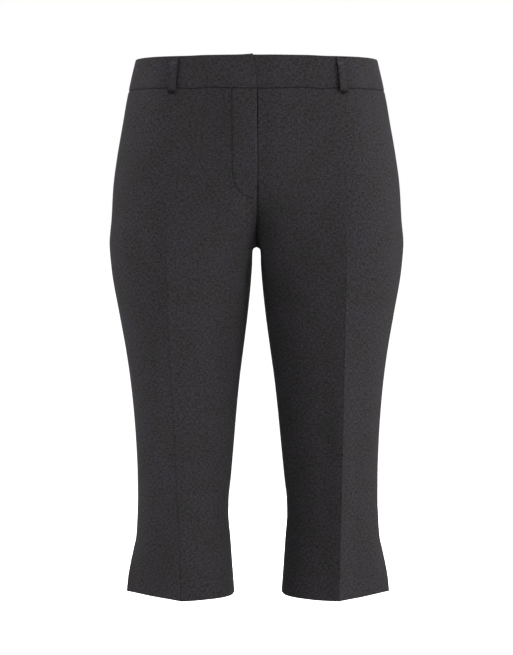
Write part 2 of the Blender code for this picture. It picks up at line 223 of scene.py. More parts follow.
# The fly: the right front laps over the left, which is set back behind it.
FLY_SET_BACK = 3.0
FLY_SLOPE_WIDTH = 30.0
FLY_LAP_X = 0.5
FLY_TUCK_X = -7.0
FLY_LAP_ENDS = (150.0, 184.0)
FLY_SET_BACK_ENDS = (184.0, 214.0)
BAND_LAP_TOP_X = -5.5
BAND_LAP_RISE = 1.2
UNDERLAP_WIDTH = 38.0
UNDERLAP_STEPS = 80

ZIP_X = (-22.0, 4.0)
ZIP_THICKNESS = 1.0
ZIP_DROPS = (BAND_HEIGHT + 4.5, 186.0)
SHIELD_X = (-36.0, 9.0)
SHIELD_DROPS = (BAND_HEIGHT + 5.5, 190.0)

HOOK_X = -27.0
BAR_X = -16.5
PLATE_DROP = 20.0

# The belt loops: name, face, and where the middle lies across it at the top and bottom end.
LOOP_WIDTH = 9.6
LOOP_TOP_DROP = 1.0
LOOP_BOTTOM_DROP = 52.2
LOOP_LENGTH = LOOP_BOTTOM_DROP - LOOP_TOP_DROP
LOOP_STAND_OFF = 2.9
LOOPS = (
    ("loop_front_right", "front", -117.0, -121.3),
    ("loop_front_left", "front", 119.9, 124.9),
    ("loop_back_right", "back", -96.0, -99.0),
    ("loop_back_centre", "back", 0.0, 0.0),
    ("loop_back_left", "back", 96.0, 99.0),
)


def column(table, names, key, drop):
    """A column's value at a drop, on a smooth curve through the rows that never overshoots."""
    levels = [row[0] for row in table]
    values = [row[names.index(key)] for row in table]
    if drop <= levels[0]:
        return values[0]
    if drop >= levels[-1]:
        return values[-1]
    i = next(n for n in range(len(levels) - 1) if drop <= levels[n + 1])
    step = levels[i + 1] - levels[i]
    t = (drop - levels[i]) / step
    start, end = slope(levels, values, i), slope(levels, values, i + 1)
    return (
        values[i] * (1 + 2 * t) * (1 - t) ** 2
        + values[i + 1] * t * t * (3 - 2 * t)
        + start * step * t * (1 - t) ** 2
        - end * step * t * t * (1 - t)
    )


def slope(levels, values, i):
    """The curve's slope at a row: the harmonic mean of its neighbours' slopes, or 0 at a peak."""
    before = after = None
    if i > 0:
        before = (values[i] - values[i - 1]) / (levels[i] - levels[i - 1])
    if i < len(levels) - 1:
        after = (values[i + 1] - values[i]) / (levels[i + 1] - levels[i])
    if before is None or after is None:
        return after if before is None else before
    if before * after <= 0:
        return 0.0
    return 2 * before * after / (before + after)


def ease(x, start, end):
    """0 up to start, 1 from end on, and smooth between them."""
    t = np.clip((x - start) / (end - start), 0.0, 1.0)
    return t * t * (3 - 2 * t)


def bump(distance, width):
    """1 at no distance, fading to nothing over about twice the width."""
    return np.exp(-((distance / width) ** 2))


def ridge(distance, size):
    """A bump of a size, which is its height, or its depth or shade, and its width."""
    return size[0] * bump(distance, size[1])


def mix(a, b, share):
    """The value that lies that share of the way from a to b."""
    return a + (b - a) * share


def spell(x, rise, fall):
    """Up from 0 to 1 between the ends of the rise, and down again between the ends of the fall."""
    return ease(x, *rise) * (1 - ease(x, *fall))


def soft_max(a, b, width):
    """The larger of two values, with a rounded change from one to the other."""
    overlap = np.maximum(0.0, width - np.abs(a - b)) / width
    return np.maximum(a, b) + overlap * overlap * width / 4


def bezier(a, b, c, d, t):
    s = 1 - t
    weights = (s**3, 3 * s * s * t, 3 * s * t * t, t**3)
    return sum(np.outer(weight, point) for weight, point in zip(weights, (a, b, c, d)))


def heading(degrees):
    """A direction in plan: 0 runs to the middle, 90 outwards from the side seam's plane."""
    angle = math.radians(degrees)
    return np.array((-math.cos(angle), math.sin(angle)))


def inseam(drop, key):
    return column(INSEAM, INSEAM_COLUMNS, key, drop)


def leg_point(curve, arch, t):
    """Points of a leg's inner curve, whose end alone follows the arch of the crotch."""
    return bezier(*curve, t) + np.outer(arch * t**ARCH_POWER, (1, 0))


SEARCH = np.linspace(0, 1, 3001)


def middle_crossing(curve, arch):
    """How far along that curve it meets the middle, or 1 if it stays clear."""
    x = leg_point(curve, arch, SEARCH)[:, 0]
    if x[-1] >= HALF_GAP:
        return 1.0
    past = int(np.argmax(x <= HALF_GAP))
    return float(np.interp(-HALF_GAP, -x[past - 1 : past + 1], SEARCH[past - 1 : past + 1]))


class Face:
    """The front or the back of the trousers, as a surface over the wearer's left half."""

    def __init__(self, name, sign, crease, centre, vent_spread, vent_tuck):
        self.name = name
        self.sign = sign  # -1 faces -Y
        self.crease_rows = crease
        self.centre_rows = centre
        self.vent_spread = vent_spread
        self.vent_tuck = vent_tuck

    def crease(self, drop, key):
        return column(self.crease_rows, CREASE_COLUMNS, key, drop)

    def crease_point(self, drop):
        return np.array((self.crease(drop, "crease_x"), self.crease(drop, "out")))

    def centre(self, drop, key):
        return column(self.centre_rows, CENTRE_COLUMNS, key, drop)

    def outer_part(self, drop, t):
        """From the side seam to the crease."""
        vent = max(0.0, drop - VENT_TOP_DROP) / (HEM_DROP - VENT_TOP_DROP)
        side_x = column(OUTLINE, OUTLINE_COLUMNS, "side_x", drop) - self.vent_tuck * vent
        side = np.array((side_x, HALF_GAP + self.vent_spread * vent))
        crease = self.crease_point(drop)
        side_turn = mix(90, VENT_CORNER_TURN, ease(vent, 0, 1))
        crease_turn = self.crease(drop, "lean") + self.crease(drop, "fold")
        return bezier(
            side,
            side + heading(side_turn) * (SIDE_FULLNESS * (crease[1] - side[1])),
            crease - heading(crease_turn) * (SIDE_FULLNESS * (side[0] - crease[0])),
            crease,
            t,
        )

    def leg_curve(self, drop):
        """The curve from the crease to the inseam, and how far its end is off the leg's own line."""
        crease = self.crease_point(drop)
        near = [inseam(drop + share * CROTCH_BLEND, "inner_x") for share in BLEND_SHARES]
        inner = np.array((sum(near) / len(near), self.sign * inseam(drop, "inner_y") + HALF_GAP))
        full = self.crease(drop, "full")
        curve = (
            crease,
            crease + self.pressed(drop) * (full * (crease[0] - inner[0])),
            inner + np.array((0, full * (crease[1] - inner[1]))),
            inner,
        )
        return curve, inseam(drop, "inner_x") - inner[0]

    def pressed(self, drop):
        """The cloth's direction from the crease towards the middle."""
        return heading(self.crease(drop, "lean") - self.crease(drop, "fold"))

    def leg_spots(self, drop, t):
        """The leg's inner part. Above the crotch it ends at the middle, below it at the inseam."""
        curve, arch = self.leg_curve(drop)
        if drop < CROTCH_DROP:
            return leg_point(curve, arch, t * middle_crossing(curve, arch))
        met = middle_crossing(*self.leg_curve(CROTCH_DROP - JUST_ABOVE))
        met = mix(met, 1, ease(drop, *BELOW_CROTCH))
        spots = leg_point(curve, arch, mix(t**EDGE_POWER, t, met))
        spots[:, 0] = soft_max(spots[:, 0], inseam(drop, "inner_x"), CROTCH_SOFTNESS)
        return spots

    def inner_part(self, drop, t):
        """From the crease to the inseam, or to the middle where the legs have not parted."""
        parted = ease(drop, *LEGS_PART_ENDS)
        plan = np.zeros((len(t), 2))
        if parted < 1:
            crease = self.crease_point(drop)
            centre = np.array((HALF_GAP, self.centre(drop, "out")))
            reach = FLAT_FULLNESS * (crease[0] - centre[0])
            handles = crease + self.pressed(drop) * reach, centre + np.array((reach, 0))
            plan += bezier(crease, *handles, centre, t) * (1 - parted)
        if parted > 0:
            plan += self.leg_spots(drop, t) * parted
        return plan

    def row(self, drop, u, side=1):
        """The outer surface at each u, from 0 at the side seam, by 0.5 at the crease, to 1."""
        outer, inner = u[u <= 0.5], u[u > 0.5]
        plan = np.vstack((self.outer_part(drop, 2 * outer), self.inner_part(drop, 2 * inner - 1)))
        level = drop + self.centre(drop, "sag") * ease(u, *SAG_ENDS)
        at_hem = ease(drop, VENT_TOP_DROP, HEM_DROP)
        level += at_hem * INSEAM_DIP * ease(u, *INSEAM_DIP_ENDS)
        level -= at_hem * VENT_LIFT * (1 - ease(u, *VENT_LIFT_ENDS))
        hang = ease(drop, CROTCH_DROP, HEM_DROP)
        sway = hang * (HEM_SWAY + CREASE_SWAY * (1 - np.abs(2 * u - 1)))
        return np.column_stack((side * plan[:, 0] + sway, self.sign * plan[:, 1], ORIGIN_DROP - level))

    def spots(self, drop, x):
        """The outer surface where a row above the legs passes each x, on either side."""
        row = self.row(drop, DENSE)[::-1]
        away = np.abs(x)
        y, z = (np.interp(away, row[:, 0], row[:, axis]) for axis in (1, 2))
        return np.column_stack((x, y, z))

    def outward(self, drop, x):
        """The direction out of the cloth there."""
        ahead, down = SLOPE_REACH
        before, after = self.spots(drop, np.array((x - ahead, x + ahead)))
        above = self.spots(drop - down, np.array((x,)))[0]
        below = self.spots(drop + down, np.array((x,)))[0]
        normal = np.cross(after - before, below - above)
        return normal * math.copysign(1, normal[1] * self.sign) / np.linalg.norm(normal)


# Points of a row before it is divided, and how far about a spot its slope is taken.
HALF_DENSE = 400
DENSE = np.concatenate((np.linspace(0, 0.5, HALF_DENSE), np.linspace(0.5, 1, HALF_DENSE)[1:]))
SLOPE_REACH = (1.0, 2.0)

FRONT = Face("front", -1, FRONT_CREASE, FRONT_CENTRE, VENT_FRONT_SPREAD, 0.0)
BACK = Face("back", 1, BACK_CREASE, BACK_CENTRE, VENT_BACK_SPREAD, VENT_BACK_TUCK)
FACES = {"front": FRONT, "back": BACK}


def near_fly(x):
    """1 at the middle of the front, fading to 0 where the left front meets its surface again."""
    return 1 - ease(x, FLY_LAP_X, FLY_SLOPE_WIDTH)


def panel_row(face, side, drop):
    """A dense row of a panel, whose edge at the fly runs on over the other side or under it."""
    points = face.row(drop, DENSE, side)
    if face is BACK or drop >= FLY_SET_BACK_ENDS[1]:
        return points
    lapped = 1 - ease(drop, *FLY_LAP_ENDS)
    x = np.abs(points[:, 0])
    if side < 0:
        return face.spots(drop, (FLY_LAP_X + HALF_GAP) * near_fly(x) * lapped - x)
    x = x + (FLY_TUCK_X - HALF_GAP) * near_fly(x) * lapped
    points = face.spots(drop, x)
    points[:, 1] += FLY_SET_BACK * (1 - ease(drop, *FLY_SET_BACK_ENDS)) * near_fly(x)
    return points


# -------- Grids of cloth

# Distances from a seam and from the crease at which a panel has a column, and how many more lie
# between them. The fly's stitching needs them close together near the middle.
SEAM_STOPS = (0, 0.5, 1.1, 1.9, 3.0, 4.4, 5.8, 7.0, 7.7, 8.4, 9.1, 9.8, 10.6, 11.4)
FLY_STOPS = tuple(12.8 + 0.9 * n for n in range(31))
CREASE_STOPS = (0, 0.6, 1.3, 2.3, 3.8, 6.0)
OUTER_SPANS = 34
INNER_SPANS = 26

# Rows of a panel: from, to and the largest step.
PANEL_ROWS = (
    (BAND_HEIGHT, 45.5, 0.5),
    (45.5, 52, 1.6),
    (52, 160, 3.0),
    (160, 206, 1.0),
    (206, 262, 2.4),
    (262, 292, 1.0),
    (292, 700, 3.2),
    (700, 724, 2.0),
    (724, 764, 2.6),
    (764, 770, 1.0),
    (770, 793, 2.6),
    (793, HEM_DROP, 0.8),
)
BAND_ROWS = ((0, 2, 0.5), (2, 41, 2.4), (41, BAND_HEIGHT, 0.5))
BAND_STEP = 3.0
TINY = 1e-9


def levels(spans):
    """Every level of the spans, each shared end once."""
    found = [spans[0][0]]
    for start, end, step in spans:
        count = math.ceil((end - start) / step)
        found += [start + (end - start) * n / count for n in range(1, count + 1)]
    return np.array(found, float)


def between(start, end, count):
    """Even steps inside a span, without its ends."""
    return np.linspace(start, end, count + 1)[1:-1]


def distances(line):
    """How far along a line each of its points lies."""
    return np.concatenate(([0], np.cumsum(np.linalg.norm(np.diff(line, axis=0), axis=1))))


def resample(line, along, stops):
    """The line's points at other distances along it."""
    return np.column_stack([np.interp(stops, along, values) for values in line.T])


def column_stops(along):
    """How far along a panel's row each of its columns lies."""
    crease, end = along[HALF_DENSE - 1], along[-1]
    seam, pressed, fly = (np.array(stops) for stops in (SEAM_STOPS, CREASE_STOPS, FLY_STOPS))
    return np.concatenate(
        (
            seam,
            between(seam[-1], crease - pressed[-1], OUTER_SPANS),
            crease - pressed[::-1],
            crease + pressed[1:],
            between(crease + pressed[-1], end - fly[-1], INNER_SPANS),
            end - fly[::-1],
            end - seam[::-1],
        )
    )


def panel_grid(face, side, drops):
    """A panel's outer points, and where each lies: its x, its drop and its distances from the side
    seam, the crease and the inner edge.

    A row below the crotch runs on past the middle to the inseam. Its columns start where those
    above the crotch end, and move to their own places over a short way down.
    """
    above = distances(panel_row(face, side, CROTCH_DROP - JUST_ABOVE))
    above = np.interp(column_stops(above), above, DENSE)
    points, from_side, to_crease, to_inner = [], [], [], []
    for drop in drops:
        line = panel_row(face, side, drop)
        along = distances(line)
        stops = column_stops(along)
        if drop < CROTCH_DROP:
            points.append(resample(line, along, stops))
        else:
            u = mix(above, np.interp(stops, along, DENSE), ease(drop, *BELOW_CROTCH))
            points.append(face.row(drop, u, side))
            stops = np.interp(u, DENSE, along)
        from_side.append(stops)
        to_crease.append(stops - along[HALF_DENSE - 1])
        to_inner.append(along[-1] - stops)
    points = np.array(points)
    return points, SimpleNamespace(
        x=points[..., 0].copy(),
        drop=np.repeat(drops[:, None], points.shape[1], 1),
        from_side=np.array(from_side),
        to_crease=np.array(to_crease),
        to_inner=np.array(to_inner),
    )


def normals(points, outwards, seams=(), part=None):
    """The direction out of the cloth at each point of a grid.

    Next to a seam it doesn't lean across it, or the seam would gape. A seam is the axis that lies
    across it, and how strongly each point is held. part is the row from which the cloth turns
    sharply away from the rows above, as it does at the crotch.
    """
    blocks = [points] if part is None else [points[:part], points[part:]]
    found = [np.cross(np.gradient(rows, axis=1), np.gradient(rows, axis=0)) for rows in blocks]
    found = np.vstack(found)
    found /= np.maximum(np.linalg.norm(found, axis=2, keepdims=True), TINY)
    middle = found[len(found) // 2, found.shape[1] // 2]
    if middle @ np.array(outwards) < 0:
        found = -found
    for axis, held in seams:
        found[..., axis] *= 1 - held
    return found / np.maximum(np.linalg.norm(found, axis=2, keepdims=True), TINY)


# What the meshes give the cloth's materials, among them its painted shade and painted light, and the
# plain rounded edges of a piece.
CLOTH_MAP = "flat_cloth"
CLOTH_SHADE = "cloth_shade"
PLAIN_LIPS = ((0.1, None),) * 4


def link(name, data):
    made = bpy.data.objects.new(name, data)
    bpy.context.scene.collection.objects.link(made)
    return made


def mesh_object(name, vertices, faces, finish, flat=None, shade=None):
    """A smooth mesh from points in millimetres.

    Cloth also has each point's place on the flat cloth, and how much painted shade darkens it there,
    or painted light lightens it.
    """
    mesh = bpy.data.meshes.new(name)
    mesh.from_pydata((np.asarray(vertices) * MM).tolist(), [], [list(face) for face in faces])
    mesh.shade_smooth()
    mesh.materials.append(finish)
    if flat is not None:
        corners = np.zeros(len(mesh.loops), int)
        mesh.loops.foreach_get("vertex_index", corners)
        layer = mesh.uv_layers.new(name=CLOTH_MAP)
        layer.uv.foreach_set("vector", (flat[corners] * MM).astype(np.float32).ravel())
        shading = mesh.attributes.new(CLOTH_SHADE, "FLOAT", "POINT")
        shading.data.foreach_set("value", shade.astype(np.float32))
    return link(name, mesh)


def shell(name, outer, out, thickness, finish, flat, lips=PLAIN_LIPS, shade=0.0):
    """A closed wall of cloth under a grid of outer points, whose directions out are given.

    thickness and shade are one value or a grid of them, and flat is each point's place on the
    flat cloth. lips are for the top, bottom, first and last side: how far its rounded edge stands
    out, and in which direction, which is one or a grid of them, or None for straight on.
    """
    rows, cols = outer.shape[:2]
    inner = outer - out * np.broadcast_to(thickness, (rows, cols))[..., None]
    down, along = np.arange(rows - 1), np.arange(cols - 1)
    top, bottom, first, last = lips
    sides = (
        (top, 0 * along, along),
        (last, down, 0 * down + cols - 1),
        (bottom, 0 * along + rows - 1, along[::-1] + 1),
        (first, down[::-1] + 1, 0 * down),
    )
    lip = []
    for (stand_out, direction), r, c in sides:
        away = outer[r, c] - outer[np.clip(r, 1, rows - 2), np.clip(c, 1, cols - 2)]
        away /= np.linalg.norm(away, axis=1, keepdims=True)
        if direction is not None:
            away = np.broadcast_to(direction, outer.shape)[r, c]
        lip.append((outer[r, c] + inner[r, c]) / 2 + stand_out * away)
    index = np.arange(rows * cols).reshape(rows, cols)
    quads = np.stack((index[:-1, :-1], index[1:, :-1], index[1:, 1:], index[:-1, 1:]), -1)
    quads = quads.reshape(-1, 4)
    count = rows * cols
    here = np.concatenate([index[r, c] for _, r, c in sides])
    there = np.roll(here, -1)
    rim = 2 * count + np.arange(len(here))
    rim_next = np.roll(rim, -1)
    outer_rim = np.stack((there, here, rim, rim_next), 1)
    inner_rim = np.stack((rim_next, rim, here + count, there + count), 1)
    facing = np.cross(outer[1, 0] - outer[0, 0], outer[0, 1] - outer[0, 0]) @ out[0, 0] > 0
    if facing:
        outer_rim, inner_rim = outer_rim[:, ::-1], inner_rim[:, ::-1]
    else:
        quads = quads[:, ::-1]
    faces = np.vstack((quads, quads[:, ::-1] + count, outer_rim, inner_rim))
    vertices = np.vstack((outer.reshape(-1, 3), inner.reshape(-1, 3), *lip))
    flat = flat.reshape(-1, 2)
    flat = np.vstack((flat, flat, flat[here]))
    shade = np.broadcast_to(shade, (rows, cols)).ravel()
    shade = np.concatenate((shade, 0 * shade, shade[here]))
    return mesh_object(name, vertices, faces, finish, flat, shade)


# -------- Seams, creases and soft folds

# A ridge, a trough or a shade is given as its height, depth or darkness, and then its width.
SEAM_ROLL = (0.9, 1.4)
EDGE_ROLL = 0.35
EDGE_WIDTH = 1.0
SEAM_HOLD = 5.0

# How far the rounded edges of shut seams and of the hem stand out.
SHUT = 0.2
HEM_LIP = 0.5

# The middle seam isn't rolled in within this of the arch of the crotch. There the two sides meet:
# points nearer the middle than the second value are brought just past it.
ARCH_PLAIN = 4.0
ARCH_NEAR = 1.2
ARCH_PAST = 0.05

# The seam allowances under it lift the cloth along the inseams, and along the side seams low down.
SWELL = (0.9, 9.0)
INSEAM_SWELL_ENDS = (283.0, 305.0)
SIDE_SWELL_ENDS = (600.0, 700.0)

# Sewing puckers the cloth: the waves' lengths and starts, and where they start on each side.
PUCKER = 0.09
PUCKER_REACH = 9.0
PUCKER_WAVES = ((13.0, 0.4), (8.3, 1.9), (21.0, 4.1))
PUCKER_SHIFT = 3

CREASE_RIDGE = (0.35, 1.2)
CREASE_RIDGE_ENDS = (230.0, 330.0)
DART = (0.8, 1.2)
DART_ENDS = (128.0, 146.0)
VENT_OPENS = (VENT_TOP_DROP - 6, VENT_TOP_DROP + 6)

# Doubled cloth inside: seam allowances pressed open, the hem's and the vents' turnings and the
# fly's facing. Each step down to the single cloth takes about a millimetre.
ALLOWANCE = 10.8
VENT_FACING = 24.0
VENT_FACING_ENDS = (VENT_TOP_DROP - 8, VENT_TOP_DROP - 4)
HEM_TURNING = 30.0
FLY_FACING = 38.0
FLY_FACING_ENDS = (FLY_SET_BACK_ENDS[0], FLY_SET_BACK_ENDS[0] + 4)
TURNING = 1.0
TURNING_STEP = 0.5

# The top of the band rises a little towards the middle, most of all at the corner that laps over,
# and the band wavers a little along its length.
BAND_CROWN = 0.9
BAND_CROWN_ENDS = (70.0, 105.0)
BAND_CORNER = (0.8, 2.0)
BAND_WAVER = 0.15
BAND_WAVER_PACE = 0.35
BAND_WAVER_SHIFT = 40
BAND_EDGE_STOPS = (0, 0.5, 1.2, 2.4)
BAND_LIPS = ((0.55, None), (SHUT, None), (SHUT, None), (0.35, None))

# The fly's stitched line, straight down and then curved in to the middle.
STITCH_X = -35.9
STITCH_TOP = 46.0
STITCH_TURN = (-35.5, 158.0)
STITCH_CURVE = ((-35.5, 183.0), (-24.0, 200.0), (-5.0, 201.3))
STITCH_DENT = (0.8, 1.0)
STITCH_NEAR = 6
STITCH_CURVE_STEPS = 60
STITCH_DENT_STEP = 1.0

# The fly's folded edge is pressed round, and the left front dips beside it.
FLY_EDGE_ROLL = (0.8, 1.7)
FLY_SLOT = 1.4
FLY_SLOT_IN = 0.7
FLY_SLOT_WIDTH = 0.65
FLY_PRESSED = 0.75
FLY_PRESSED_ENDS = (92.0, 108.0)

# The fly's edge and the middle seam below it wander a little towards the wearer's left.
LEAN_COLUMNS = ("drop", "x")
CENTRE_LEAN = (
    (108, 0),
    (128, 0.3),
    (160, 0.7),
    (184, 1.2),
    (205, 1.3),
    (220, 1.4),
    (235, 0.9),
    (250, 0.4),
    (268, 0),
)
CENTRE_LEAN_WIDTH = 26.0

# The waist seam hangs a little lower to the sides than at the middle.
WAIST_DIP = 2.4
WAIST_DIP_ENDS = (62.0, 92.0)
WAIST_DIP_REACH = 30.0

# The hem drops a little towards the creases and the side seams.
HEM_FALL = 1.1
HEM_FALL_FROM = 700.0
HEM_FALL_ENDS = (60.0, 100.0)

# How much darker the cloth is painted in its seams, along the crease, the stitching, the fly's dip,
# the
# inner leg and the crotch: painted shade where the light doesn't reach. The fly's edge and the inner
# thigh are painted lighter: a painted highlight and painted light. Below the crotch the inseam is half
# as dark.
SEAM_SHADE = (0.4, 0.8)
INSEAM_PALER = 0.5
WAIST_SHADE = (0.45, 0.8)
STITCH_SHADE = (0.8, 0.62)
FLY_SHADE = 0.5
CREASE_SHADE = (0.3, 0.8)
CREASE_SHADE_OFF = 0.6
FLY_EDGE_LIGHT = (-0.11, 1.5)
FLY_EDGE_LIGHT_IN = 2.2
CROTCH_SHADE = 0.5
CROTCH_SHADE_WIDTHS = (6.5, 2.5)
CROTCH_SHADE_ENDS = ((196.0, 240.0), (CROTCH_DROP, CROTCH_DROP + 30))
INSEAM_SHADE = 0.15
INSEAM_SHADE_WIDTHS = (7.0, 17.0)
INSEAM_SHADE_ENDS = ((236.0, 268.0), (280.0, 370.0))
LEG_EDGE_SHADE = (0.5, 5.5)
LEG_EDGE_SHADE_ENDS = (304.0, 350.0)
THIGH_PAINTED_LIGHT = (-0.8, 6.5)
THIGH_PAINTED_LIGHT_ENDS = ((262.0, 278.0), (290.0, 430.0))

# Soft patches of painted shade and painted light on the front, where the cloth is painted a little
# darker
# or paler: where each lies, how far it reaches across and down, and how much darker it is.
PAINTED_SHADE_PATCH_COLUMNS = ("x", "drop", "across", "down", "darker")
PAINTED_SHADE_PATCHES = (
    (37, 285, 24, 42, -0.2),
    (-22, 214, 13, 26, -0.13),
    (-158, 262, 14, 70, -0.12),
    (-134, 520, 12, 150, -0.13),
    (111, 630, 14, 180, 0.15),
    (139, 600, 8, 150, -0.06),
    (-48, 440, 16, 70, 0.08),
    (-150, 70, 20, 75, -0.11),
    (-48, 75, 24, 55, 0.11),
    (-15, 312, 9, 38, -0.32),
)

# The shade beside each front loop and below it.
LOOP_SHADE = {"loop_front_right": (0.2, 6.0), "loop_front_left": (0.42, 0.9)}
LOOP_SHADE_ENDS = (LOOP_BOTTOM_DROP - 2, LOOP_BOTTOM_DROP + 3)
LOOP_SHADE_UNDER = 1.0
LOOP_END_SHADE = 0.55
LOOP_END_DROPS = (LOOP_BOTTOM_DROP, LOOP_BOTTOM_DROP + 2)
LOOP_END_SIDES = (LOOP_WIDTH / 2 - 1, LOOP_WIDTH / 2 + 2)

# A loop's painted light and shade: painted a little lighter than the panels, painted as dark as the
# painted shadow below it where its lower end turns in, which is measured back from the end of its
# cloth, and painted dark along its top fold.
LOOP_LIGHT = -0.07
LOOP_FOLD_ENDS = (17.5, 12.5)
LOOP_TOP_FOLD = 9.0
LOOP_TOP_SHADE = (0.58, 1.0)

# Stitches: their length, the space between them and how high over the plain form they lie.
STITCH_LENGTH = 2.5
STITCH_SPACE = 0.55
STITCH_HEIGHT = -0.12
THREAD_RADIUS = 0.26
THREAD_SIDES = 6

# The rings of one stitch: how far along it, how wide and how deep in the cloth, in radii.
THREAD_RINGS = ((0.0, 0.45, 0.9), (0.14, 1.0, 0.1), (0.86, 1.0, 0.1), (1.0, 0.45, 0.9))

# A loop is folded under by a flap at each end, and its strap rises off the band a little way down.
LOOP_FLAP = 7.0
LOOP_TOP_RADIUS = 0.54 * LOOP_CLOTH
LOOP_RAISED_ENDS = (6.0, 13.0)
LOOP_BOTTOM_TURN = 3.4
LOOP_TURN_STEPS = 9
LOOP_STRAP_STEPS = 34
LOOP_STOPS = (0, 0.3, 0.55, 0.68, 0.78, 0.88, 0.96, 1.0)
LOOP_LIPS = ((0.1, None), (0.1, None), (0.35, None), (0.35, None))
LOOP_DENT = (0.48, 0.5)
LOOP_STITCH_IN = 1.4

# The tack of each loop: how far down it lies, and its stitches' number, slant and height.
LOOP_TACK_IN = 3.0
LOOP_TACK_COUNT = 13
LOOP_TACK_SLANT = (0.25, 0.7)
LOOP_TACK_HEIGHT = SEAM_GAP + 2 * LOOP_CLOTH + 0.15

# The zip tape and the fly shield are flat grids. The zip's teeth lie to the left and right in turn.
FLAT_COLUMNS = 24
FLAT_ROWS = 70
TAPE_INSET = 0.25
TOOTH_PITCH = 1.5
TOOTH_SIZE = (2.6, 1.0)
TOOTH_SOFT = 0.15
ZIP_STOP_IN = 3.0
SLIDER_DROP = 4.0
SLIDER_SOFT = 0.12
PLATE_SOFT = 0.14

# The slider with its pull tab, the hook and the bar in small blocks: their spans across and down
# about one spot, how deep they lie and how thick they are.
SLIDER_PARTS = (
    (-3.0, 3.0, 0, 9.0, -0.15, 0.5),
    (-3.0, 3.0, 0, 9.0, 0.75, 0.5),
    (-1.8, 1.8, 4, 22, -0.25, 0.3),
)
HOOK_PARTS = (
    (-6.0, 6.0, -4.5, 4.5, 0.3, 0.4),
    (-5.0, 4.4, -2.6, 2.6, 0.0, 0.26),
    (3.6, 4.4, -2.6, 2.6, 0.0, 0.7),
)
BAR_PARTS = (
    (-1.0, 1.0, -4.6, 4.6, 0.0, 0.5),
    (-2.0, 2.0, -6.0, -4.2, 0.3, 0.5),
    (-2.0, 2.0, 4.2, 6.0, 0.3, 0.5),
)
BOX_FACES = ((0, 1, 3, 2), (4, 6, 7, 5), (0, 4, 5, 1), (2, 3, 7, 6), (0, 2, 6, 4), (1, 5, 7, 3))

# Soft folds, each from one spot to another across a face. x is positive on the wearer's left,
# "bow" bends the line sideways, and a negative height is a trough.
FOLD_COLUMNS = ("x0", "drop0", "x1", "drop1", "bow", "width", "height")
FRONT_FOLDS = (
    (-7, 262, -58, 224, -4, 9, -0.55),
    (-10, 273, -78, 251, -5, 8, -0.4),
    (8, 259, 52, 226, 4, 9, -0.6),
    (11, 272, 84, 248, 5, 8, -0.45),
    (-30, 218, -74, 196, -3, 11, 0.35),
    (34, 214, 70, 197, 3, 11, 0.3),
    (-192, 118, -150, 152, 4, 15, -0.5),
    (196, 128, 158, 158, -4, 14, -0.45),
    (-205, 292, -168, 268, 3, 11, -0.45),
    (207, 300, 172, 272, -3, 12, -0.5),
    (-178, 452, -140, 474, 3, 12, -0.4),
    (-60, 470, -92, 494, -3, 11, -0.35),
    (62, 486, 98, 506, 3, 12, -0.4),
    (172, 470, 141, 486, -3, 11, -0.3),
    (-82, 600, -60, 640, 2, 9, -0.3),
    (152, 610, 165, 652, 2, 9, -0.3),
)
BACK_FOLDS = (
    (-8, 290, -82, 318, 8, 12, -2.0),
    (8, 290, 86, 321, -8, 12, -2.1),
    (-18, 316, -92, 352, 8, 11, -1.4),
    (20, 319, 88, 350, -8, 12, -1.3),
    (-100, 296, -176, 284, 5, 13, -1.2),
    (98, 300, 170, 286, -5, 13, -1.1),
    (-12, 262, -66, 240, -5, 10, -0.9),
    (12, 262, 60, 238, 5, 10, -0.9),
    (-46, 470, -104, 496, 5, 12, -1.2),
    (50, 478, 110, 500, -5, 12, -1.2),
    (-180, 476, -128, 508, 5, 13, -1.1),
    (178, 470, 130, 500, -5, 12, -1.0),
    (-56, 516, -100, 540, 4, 11, -0.8),
    (166, 520, 132, 544, -4, 11, -0.7),
    (-120, 66, -160, 88, 3, 12, -0.6),
    (122, 64, 158, 90, -3, 12, -0.6),
    (-36, 74, -60, 112, 3, 13, -0.5),
    (40, 76, 62, 118, -3, 13, -0.5),
    (-150, 620, -166, 668, 2, 10, -0.5),
    (84, 626, 66, 672, 2, 10, -0.5),
)
FOLD_TAPER = 0.38


def rows_of(columns, table):
    """The rows of a table, with their values by name."""
    return [SimpleNamespace(**dict(zip(columns, row))) for row in table]


def waves(along):
    """An uneven ripple, from -1 to 1, without repeats that show."""
    total = sum(np.sin(2 * math.pi * along / length + start) for length, start in PUCKER_WAVES)
    return total / len(PUCKER_WAVES)


def pucker(along, distance):
    """The ripple beside a sewn seam, which fades away from it."""
    return PUCKER * waves(along) * np.exp(-distance / PUCKER_REACH)


def stitch_path(step):
    """Spots along the fly's stitched line, as x and drop, a step apart."""
    curve = bezier(STITCH_TURN, *STITCH_CURVE, np.linspace(0, 1, STITCH_CURVE_STEPS))
    line = np.vstack(((STITCH_X, STITCH_TOP), curve))
    along = distances(line)
    return resample(line, along, np.arange(0, along[-1], step))


def to_stitching(x, drop):
    """Each spot's distance from the fly's stitched line, where that is near."""
    found = np.full(x.shape, np.inf)
    near = (drop < STITCH_CURVE[-1][1] + STITCH_NEAR) & (x > STITCH_X - STITCH_NEAR)
    spots = np.stack((x[near], drop[near]), -1)
    path = stitch_path(STITCH_DENT_STEP)
    found[near] = np.min([np.linalg.norm(spots - point, axis=-1) for point in path], axis=0)
    return found


def folds(face, x, drop):
    """The soft folds' height at each spot of a face."""
    total = np.zeros(x.shape)
    for fold in rows_of(FOLD_COLUMNS, FRONT_FOLDS if face is FRONT else BACK_FOLDS):
        run_x, run_drop = fold.x1 - fold.x0, fold.drop1 - fold.drop0
        length = math.hypot(run_x, run_drop)
        from_x, from_drop = x - fold.x0, drop - fold.drop0
        t = (from_x * run_x + from_drop * run_drop) / length**2
        off = (from_x * run_drop - from_drop * run_x) / length - fold.bow * 4 * t * (1 - t)
        tapered = spell(t, (-FOLD_TAPER, FOLD_TAPER), (1 - FOLD_TAPER, 1 + FOLD_TAPER))
        total += fold.height * tapered * bump(off, fold.width)
    return total


